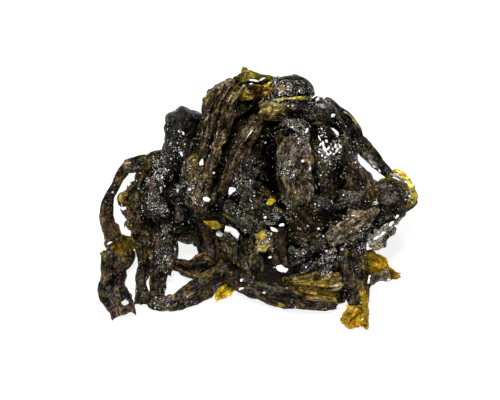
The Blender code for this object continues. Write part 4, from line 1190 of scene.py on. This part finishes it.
def laid_fronds(count, rises, turns, kinds, chance, widths=(5.0, 11.0), lengths=(26.0, 70.0),
                depth=(-1.9, 0.3), spacing=COARSE, tones=(0.45, 0.9), steep=1.0):
    """Fronds over one side of the heap, from starts spread evenly with chance."""
    sheets = []
    for _ in range(count * TRIES):
        turn = math.radians(chance.uniform(*turns))
        rise = math.radians(chance.uniform(*rises))
        aim = np.array((math.cos(turn) * math.cos(rise), math.sin(turn) * math.cos(rise), math.sin(rise)))
        start = onto_heap(HEART + aim * OUTSIDE)
        angle = chance.uniform(0.0, 2.0 * math.pi)
        heading = np.array((-math.sin(turn), math.cos(turn), 0.0)) * math.cos(angle)
        heading = heading + np.array((0.0, 0.0, -steep)) * math.sin(angle)
        route = wander(start, heading, chance.uniform(*lengths), chance)
        wide = chance.uniform(*widths)
        kind = kinds[chance.integers(len(kinds))]
        lift = chance.uniform(*depth)
        seed = int(chance.integers(1, 90000))
        tone = chance.uniform(*tones)
        lean = chance.uniform(-22.0, 22.0)
        points = np.array([place + out * lift for place, out in route])
        normals = np.array([out for _, out in route])
        if lift > 0.5 and (normals @ VIEW).max() > 0.4:
            continue
        # Fronds on the seen side lie under the shown ones: half tone, as painted shade
        if (normals @ VIEW).mean() > 0.35:
            tone *= 0.5
        in_front = np.clip(normals @ VIEW * 3.0, 0.0, 1.0)
        deeper = 1.0 if lift < -0.8 else 1.6
        points -= VIEW * (deeper * hollow(*seen(points)) * in_front)[:, None]
        outer = unit(normals - VIEW * (normals @ VIEW)[:, None]) * 0.4 * wide
        share = np.linspace(0.0, 1.0, len(points))
        swell = wide * (0.45 + 0.55 * np.sin(math.pi * np.clip(share, 0.04, 0.96)) ** 0.6)
        points -= normals * np.where(clear(points + outer), 0.0, 1.6)[:, None]
        sheet = frond(points, swell, normals, kind, seed, lean=lean, spacing=spacing, tinted=False,
                      tone=tone, trimmed=True)
        if len(sheet.quads) > FEWEST:
            sheets.append(sheet)
        if len(sheets) == count:
            break
    return sheets


# Salt

FAR, RAY = 150.0, 400.0     # how far off rays start, and how far they look


def ball(subdivisions):
    """Corners and faces of a round solid."""
    shape = bmesh.new()
    bmesh.ops.create_icosphere(shape, subdivisions=subdivisions, radius=1.0)
    shape.verts.index_update()
    corners = np.array([tuple(vert.co) for vert in shape.verts])
    faces = np.array([[vert.index for vert in face.verts] for face in shape.faces])
    shape.free()
    return corners, faces


def crystals(places, sizes, chance, template):
    """Small solids at many places, each turned, stretched and sized by chance."""
    corners, faces = template
    count = len(places)
    spin = chance.normal(size=(count, 3, 3))
    first = unit(spin[:, 0])
    second = unit(spin[:, 1] - first * (spin[:, 1] * first).sum(axis=1, keepdims=True))
    axes = np.stack((first, second, np.cross(first, second)), axis=1)
    stretch = chance.uniform((0.7, 0.5, 0.5), (2.2, 1.1, 1.1), size=(count, 3)) * sizes[:, None] / 2.0
    shaped = corners[None] * (1.0 + chance.uniform(-0.22, 0.22, size=(count, len(corners), 3)))
    local = shaped * stretch[:, None, :]
    points = np.einsum("nki,nij->nkj", local, axes) + places[:, None, :]
    offset = np.arange(count)[:, None, None] * len(corners)
    return points.reshape(-1, 3), (faces[None] + offset).reshape(-1, faces.shape[1])


GEM = (np.array(((1.0, 0, 0), (-1.0, 0, 0), (0, 1.0, 0), (0, -1.0, 0), (0, 0, 1.0), (0, 0, -1.0))),
       np.array(((0, 2, 4), (2, 1, 4), (1, 3, 4), (3, 0, 4), (2, 0, 5), (1, 2, 5), (3, 1, 5), (0, 3, 5))))

# Where a lump feels for what lies under it, across and up
AROUND = np.array(((0.0, 1.0, -1.0, 0.0, 0.0), (0.0, 0.0, 0.0, 1.0, -1.0)))

# Where salt lies thick: across, up, two radii, weight
SALTY = (
    (-34, 57, 6.5, 8, 4.2), (-33.5, 46, 5.5, 5.5, 4.2), (12.5, 90.5, 8, 5, 1.7), (25.5, 69, 4, 6, 3.2),
    (30.5, 67.5, 2.5, 3, 3), (2, 43, 10, 4.4, 2.4), (25, 26, 8, 6, 2), (-28.6, 79, 7, 6, -0.12),
    (47, 37.5, 6, 4.5, 5), (-31, 70, 5, 9, 0.5), (-36, 28, 3.5, 12, 1.2), (17, 72, 3.4, 4, 2),
    (22, 85, 8, 2.6, 1.6), (36, 37, 6, 5, 1.4), (-9, 92, 5, 2.4, 1.4), (50, 44, 6, 5, 1.4),
    (24.8, 68, 1.4, 3.2, 10), (30.2, 68, 1.3, 2, 8), (4.4, 87.4, 4, 0.8, 8), (18, 73, 1.2, 2.6, 6),
    (-37, 61, 1.8, 3, 6), (-29.5, 52.5, 3, 1.6, 5), (-23.5, 51.5, 4, 4, 2.2), (-39, 47, 0.8, 3, 6),
    (-31.5, 42.2, 2.4, 1.6, 6), (12, 92, 5, 0.9, 5), (9, 89.6, 1.2, 2.6, 6), (16.4, 90.4, 1.2, 2.6, 4),
    (11, 61, 1.6, 3, 5), (13, 76, 3, 1.4, 5), (-6, 44.5, 5, 1.2, 4), (27, 24.5, 5, 3, 3),
    (-30, 9.6, 6, 1.6, 5), (45.8, 35.4, 2.6, 2.2, 9), (51, 41, 2.6, 1.6, 7), (39, 30, 2, 2, 2),
    (44.4, 46.5, 0.8, 4, 8), (57.4, 52, 1.6, 4.6, 3), (2.2, 33.2, 2.4, 2.6, 5), (50, 38.6, 4.4, 1.4, 5),
    (33, 37.5, 6, 5, 2), (33, 62, 5, 8, 0.8), (-4, 57, 5, 7, 0.6), (14, 66, 5, 6, 1.2),
)

# Bright lumps: across, up, length, width, turn in degrees
# The lumps at (-56, 32.6), (-3.3, 72.8), (44.4, 61.6), (46.6, 60), (41.6, 18.6) and (41.9, 20.2) are painted
# highlights: white salt laid where glare shows
LUMPS = (
    (-10.6, 37.8, 4.2, 2.6, -15), (-8.2, 36.2, 4.4, 3, -48), (-14.4, 36.3, 3.2, 2.2, -55),
    (8.8, 23.3, 3.6, 2.9, -30), (10.3, 22.9, 2.6, 2, 15), (-19.2, 49.3, 3, 1.9, 0),
    (-9.7, 52.1, 3.2, 2.2, 50), (-20.9, 62.7, 2.5, 1.6, 78), (-1.4, 93.9, 3.8, 1, -8),
    (1.7, 94.3, 2.4, 0.9, 22), (6.2, 37.9, 3.8, 1.3, -28), (9, 39.8, 2.2, 1, 15), (-56, 32.6, 2.4, 1, 20),
    (22.7, 86.7, 1.5, 1.2, 0), (28.4, 80.6, 1.6, 1.3, 30), (-28, 74, 1.5, 1, 100),
    (-28.6, 66.2, 1.9, 0.9, 115), (4.7, 27.6, 1.2, 1, 0), (-6, 19, 1.5, 1.1, 60), (-6.2, 15.8, 2, 1.1, 15),
    (41.6, 18.6, 2.2, 0.9, 80), (41.9, 20.2, 1.4, 0.8, 60), (44.4, 61.6, 1.6, 0.7, -42),
    (46.6, 60, 1.2, 0.7, -50), (16.6, 63.3, 1.4, 0.9, 50), (24.6, 69.2, 3.2, 0.8, 100),
    (25.3, 67.5, 2.6, 1.4, -62), (26.2, 65.9, 1.5, 1, -20), (23.2, 71.8, 2.6, 0.5, 115),
    (29.6, 67.4, 2, 0.8, 60), (30.8, 69, 1.4, 0.6, 100), (23.5, 69.6, 1.7, 0.8, 65),
    (25.7, 70.8, 1.5, 0.8, 110), (26.4, 68.2, 1.4, 0.9, 35), (24, 65.4, 1.3, 0.8, 100),
    (27.2, 66.4, 1.2, 0.8, 60), (29.2, 69.2, 1.5, 0.8, 80), (31.2, 68.6, 1.3, 0.7, 40),
    (28.4, 66, 1.1, 0.7, 0), (18.2, 74.6, 2.2, 0.8, 60), (2.9, 42.4, 1.3, 1, 40), (44.6, 34.6, 2.4, 1.2, 25),
    (46.9, 36, 2.2, 1.1, 40), (50.4, 40, 2.6, 1.1, 50), (52.6, 42.6, 2, 0.9, 45), (-3.3, 72.8, 5.4, 0.4, 57),
    (-31.8, 21.2, 0.9, 0.7, 0), (-16.2, 59, 1, 0.8, 0), (2.4, 14.4, 1.3, 0.8, 10), (22.7, 38.2, 1, 0.8, 0),
    (31.7, 30.6, 1.2, 0.9, 40), (49.4, 18.9, 1.8, 0.5, 20), (38.9, 4.6, 1, 0.6, 60),
)


def surface(pieces):
    """A tree for rays, over the triangles of all pieces."""
    points, polygons, start = [], [], 0
    for piece in pieces:
        mesh = piece.data
        mesh.calc_loop_triangles()
        points.append(stored(mesh.vertices, "co") / MM)
        polygons.append(stored(mesh.loop_triangles, "vertices", np.int32) + start)
        start += len(mesh.vertices)
    return BVHTree.FromPolygons(np.concatenate(points).tolist(), np.concatenate(polygons).tolist())


def lump(row, index, proud, corners, chance):
    """A ball made lobed and faceted, laid as far out as proud says on the place that is seen there."""
    across, up, length, width, turn = row
    middle = at(across, up, 0.0)
    middle = middle + VIEW * (proud - middle @ VIEW)
    high = min(width, 1.5)
    ahead, aside = math.cos(math.radians(turn)), math.sin(math.radians(turn))
    along_it = np.array((1.0, 0.0, 0.0)) * ahead + RISE * aside
    axes = np.stack((along_it * length, np.cross(VIEW, along_it) * width, VIEW * high)) / 2.0
    lobes = noise(corners * 1.3 + index * 3.7, SEED) + 0.5 * noise(corners * 2.9 + index * 3.7, SEED)
    lobes += 0.4 * noise(corners * 5.3 + index * 3.7, SEED)
    rough = corners * (1.0 + 0.38 * lobes[:, None])
    for facet in unit(chance.normal(size=(9, 3))):
        rough -= np.maximum(rough @ facet - 0.74, 0.0)[:, None] * facet
    return middle + VIEW * high * 0.3 + rough @ axes


def scatter_salt(pieces, material):
    """Drops crystals on everything from the viewer's side and from all around."""
    tree = surface(pieces)
    chance = np.random.default_rng(SEED + 5)

    def hits(starts, aims):
        """Places and normals where rays meet the pieces over the floor."""
        found = []
        for start, aim in zip(starts, aims):
            place, normal, _, _ = tree.ray_cast(Vector(start), Vector(aim), RAY)
            if place is not None and place.z > 0.3:
                if normal.dot(Vector(aim)) > 0.0:
                    normal = -normal
                found.append((*place, *normal))
        return np.array(found)

    def from_viewer(across, up):
        starts = np.stack([at(x, y, 0.0) + VIEW * FAR for x, y in zip(across, up)])
        return hits(starts, np.tile(-VIEW, (len(starts), 1)))

    def spread(count, base, share=1.0):
        """Chosen places of the picture, more where it is salty, in patches."""
        across, up = chance.uniform(-61, 61, count), chance.uniform(0, 99, count)
        weight = np.full(count, base)
        for x0, y0, rx, ry, more in SALTY:
            weight += share * more * np.exp(-((across - x0) / rx) ** 2 - ((up - y0) / ry) ** 2)
        patches = flat_noise(across / 4.2, up / 4.2, SEED)
        patches += 0.6 * flat_noise(across / 1.7, up / 1.7, SEED + 1)
        weight = np.maximum(weight, 0.02) * np.clip(0.45 + 1.5 * patches, 0.03, 3.0)
        chosen = chance.uniform(0.0, 3.0, count) < weight
        return across[chosen], up[chosen]

    def around(count):
        """Where salt lies on what the viewer doesn't see."""
        turn = chance.uniform(0.0, 2.0 * math.pi, count)
        rise = np.arcsin(chance.uniform(0.05, 1.0, count))
        aims = -np.stack((np.cos(turn) * np.cos(rise), np.sin(turn) * np.cos(rise), np.sin(rise)), axis=1)
        aims = aims[aims @ VIEW > -0.45]
        targets = chance.normal(size=(len(aims), 3)) * (26.0, 20.0, 10.0) + (0.0, 8.0, 18.0)
        found = hits(targets - aims * FAR, aims)
        found = found[(found[:, 5] > -0.2) & (found[:, 3:] @ VIEW < 0.35)]
        patches = noise(found[:, :3] / 6.0, SEED + 3) + 0.6 * noise(found[:, :3] / 2.4, SEED + 4)
        return found[chance.random(len(found)) < 0.25 + 1.3 * patches]

    def add(name, shapes, faces, white):
        piece = mesh_from(name, shapes, faces, material)
        give(piece.data, "white", "FLOAT", np.repeat(white, len(shapes) // len(white)))
        piece.data.shade_flat()
        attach(piece, BODY)

    def grains(name, found, sizes, template):
        sunk = found[:, :3] + found[:, 3:] * sizes[:, None] * 0.22
        sunk[:, 2] = np.maximum(sunk[:, 2], sizes * 0.75)
        white = 0.15 + 0.85 * chance.random(len(found)) ** 0.8
        add(name, *crystals(sunk, sizes, chance, template), white)

    fine = np.concatenate((from_viewer(*spread(38000, 0.19)), around(16000)))
    grains("fine_salt", fine, chance.uniform(0.16, 0.40, len(fine)), GEM)
    coarse = np.concatenate((from_viewer(*spread(9500, 0.07, 0.5)), around(1600)))
    grains("coarse_salt", coarse, 0.34 + 0.62 * chance.random(len(coarse)) ** 2.4, ball(1))

    corners, faces = ball(3)
    shapes = []
    for index, row in enumerate(LUMPS):
        hit = from_viewer(row[0] + 1.4 * AROUND[0], row[1] + 1.4 * AROUND[1])
        if len(hit):
            shapes.append(lump(row, index, (hit[:, :3] @ VIEW).max(), corners, chance))
    offsets = np.arange(len(shapes))[:, None, None] * len(corners)
    add("salt_and_glint_lumps", np.concatenate(shapes), (faces[None] + offsets).reshape(-1, 3), np.ones(len(shapes)))


# The set

AIM = (-2.82, 48.9, 25.0)           # what the camera looks at: across, up, height
CAMERA_AWAY = 1.045                 # metres
LIT = Vector((0.0, 0.0, 0.02))      # what the lights face, in metres
LIGHTS = (                          # name, place, size, power, whether it mirrors in wet leaf
    ("over", (-0.18, -0.16, 0.90), (0.36, 0.36), 9.0, False),
    ("front", (0.30, -0.80, 0.50), (0.50, 0.40), 1.5, False),
    ("back", (0.10, 0.45, 0.75), (0.30, 0.14), 4.0, False),
    ("spark", (-0.45, -0.10, 0.80), (0.06, 0.06), 4.5, True),
)


def add_floor():
    reach = 2.5
    mesh = bpy.data.meshes.new("floor")
    ring = [(-reach, -reach, 0), (reach, -reach, 0), (reach, reach, 0), (-reach, reach, 0)]
    mesh.from_pydata(ring, [], [(0, 1, 2, 3)])
    mesh.materials.append(floor_material())
    placed("floor", mesh)


def add_light(name, place, size, power, glossy):
    lamp = bpy.data.lights.new(name, "AREA")
    lamp.shape = "RECTANGLE"
    lamp.size, lamp.size_y = size
    lamp.energy = power
    light = placed(name, lamp)
    light.visible_glossy = glossy
    light.location = place
    light.rotation_euler = (LIT - Vector(place)).to_track_quat("-Z", "Y").to_euler()


def add_set():
    """Pale floor, soft studio light and the camera at the photograph's angle."""
    add_floor()
    world = bpy.data.worlds.new("studio")
    world.use_nodes = True
    background = world.node_tree.nodes["Background"]
    background.inputs["Color"].default_value = (1.0, 1.0, 1.0, 1.0)
    background.inputs["Strength"].default_value = 0.06
    bpy.context.scene.world = world
    for light in LIGHTS:
        add_light(*light)
    camera = bpy.data.cameras.new("camera")
    camera.lens, camera.sensor_width = 200.0, 36.0
    holder = placed("camera", camera)
    holder.location = Vector(at(*AIM) * MM) + Vector(VIEW) * CAMERA_AWAY
    holder.rotation_euler = (math.radians(45.0), 0.0, 0.0)
    bpy.context.scene.camera = holder
    bpy.context.scene.view_settings.view_transform = "Standard"


def all_laid_fronds():
    """The fronds under the shown ones, and those of the sides and the back."""
    chance = np.random.default_rng(SEED)
    dark = (SHADE, SHADE, ROLL, FOLD, LEAF)
    mixed = (STRAP, FOLD, ROLL, LEAF, SHADE, FOLD, ROLL)
    return {
        "under_fronds": laid_fronds(
            70, (5, 85), (-175, -5), dark, chance, (5.0, 9.0), (18.0, 40.0), (-2.6, -0.8), 0.8, (0.65, 1.2)),
        "side_fronds": laid_fronds(34, (0, 75), (-15, 195), mixed, chance),
        "back_fronds": laid_fronds(32, (0, 80), (20, 160), mixed, chance),
        "low_fronds": laid_fronds(
            32, (-6, 14), (-30, 210), mixed, chance, (6.0, 11.0), (24.0, 50.0), (-1.4, 0.4), steep=0.3),
        "outer_fronds": laid_fronds(
            20, (4, 60), (-10, 190), mixed, chance, (6.0, 10.0), (36.0, 74.0), (0.6, 2.4), tones=(0.9, 1.5)),
    }


def main():
    leaf = wakame_material()
    core = add_core()
    groups = shown_fronds()
    groups.update(all_laid_fronds())
    everything = [sheet for sheets in groups.values() for sheet in sheets]
    wide, close = Crowd(everything, 3), Crowd(everything, 1)
    pieces = [core]
    for name, sheets in groups.items():
        pieces.append(add_fronds(name, [sunk_in_shade(sheet, wide, close) for sheet in sheets], leaf))
    scatter_salt(pieces, salt_material())
    add_set()


main()
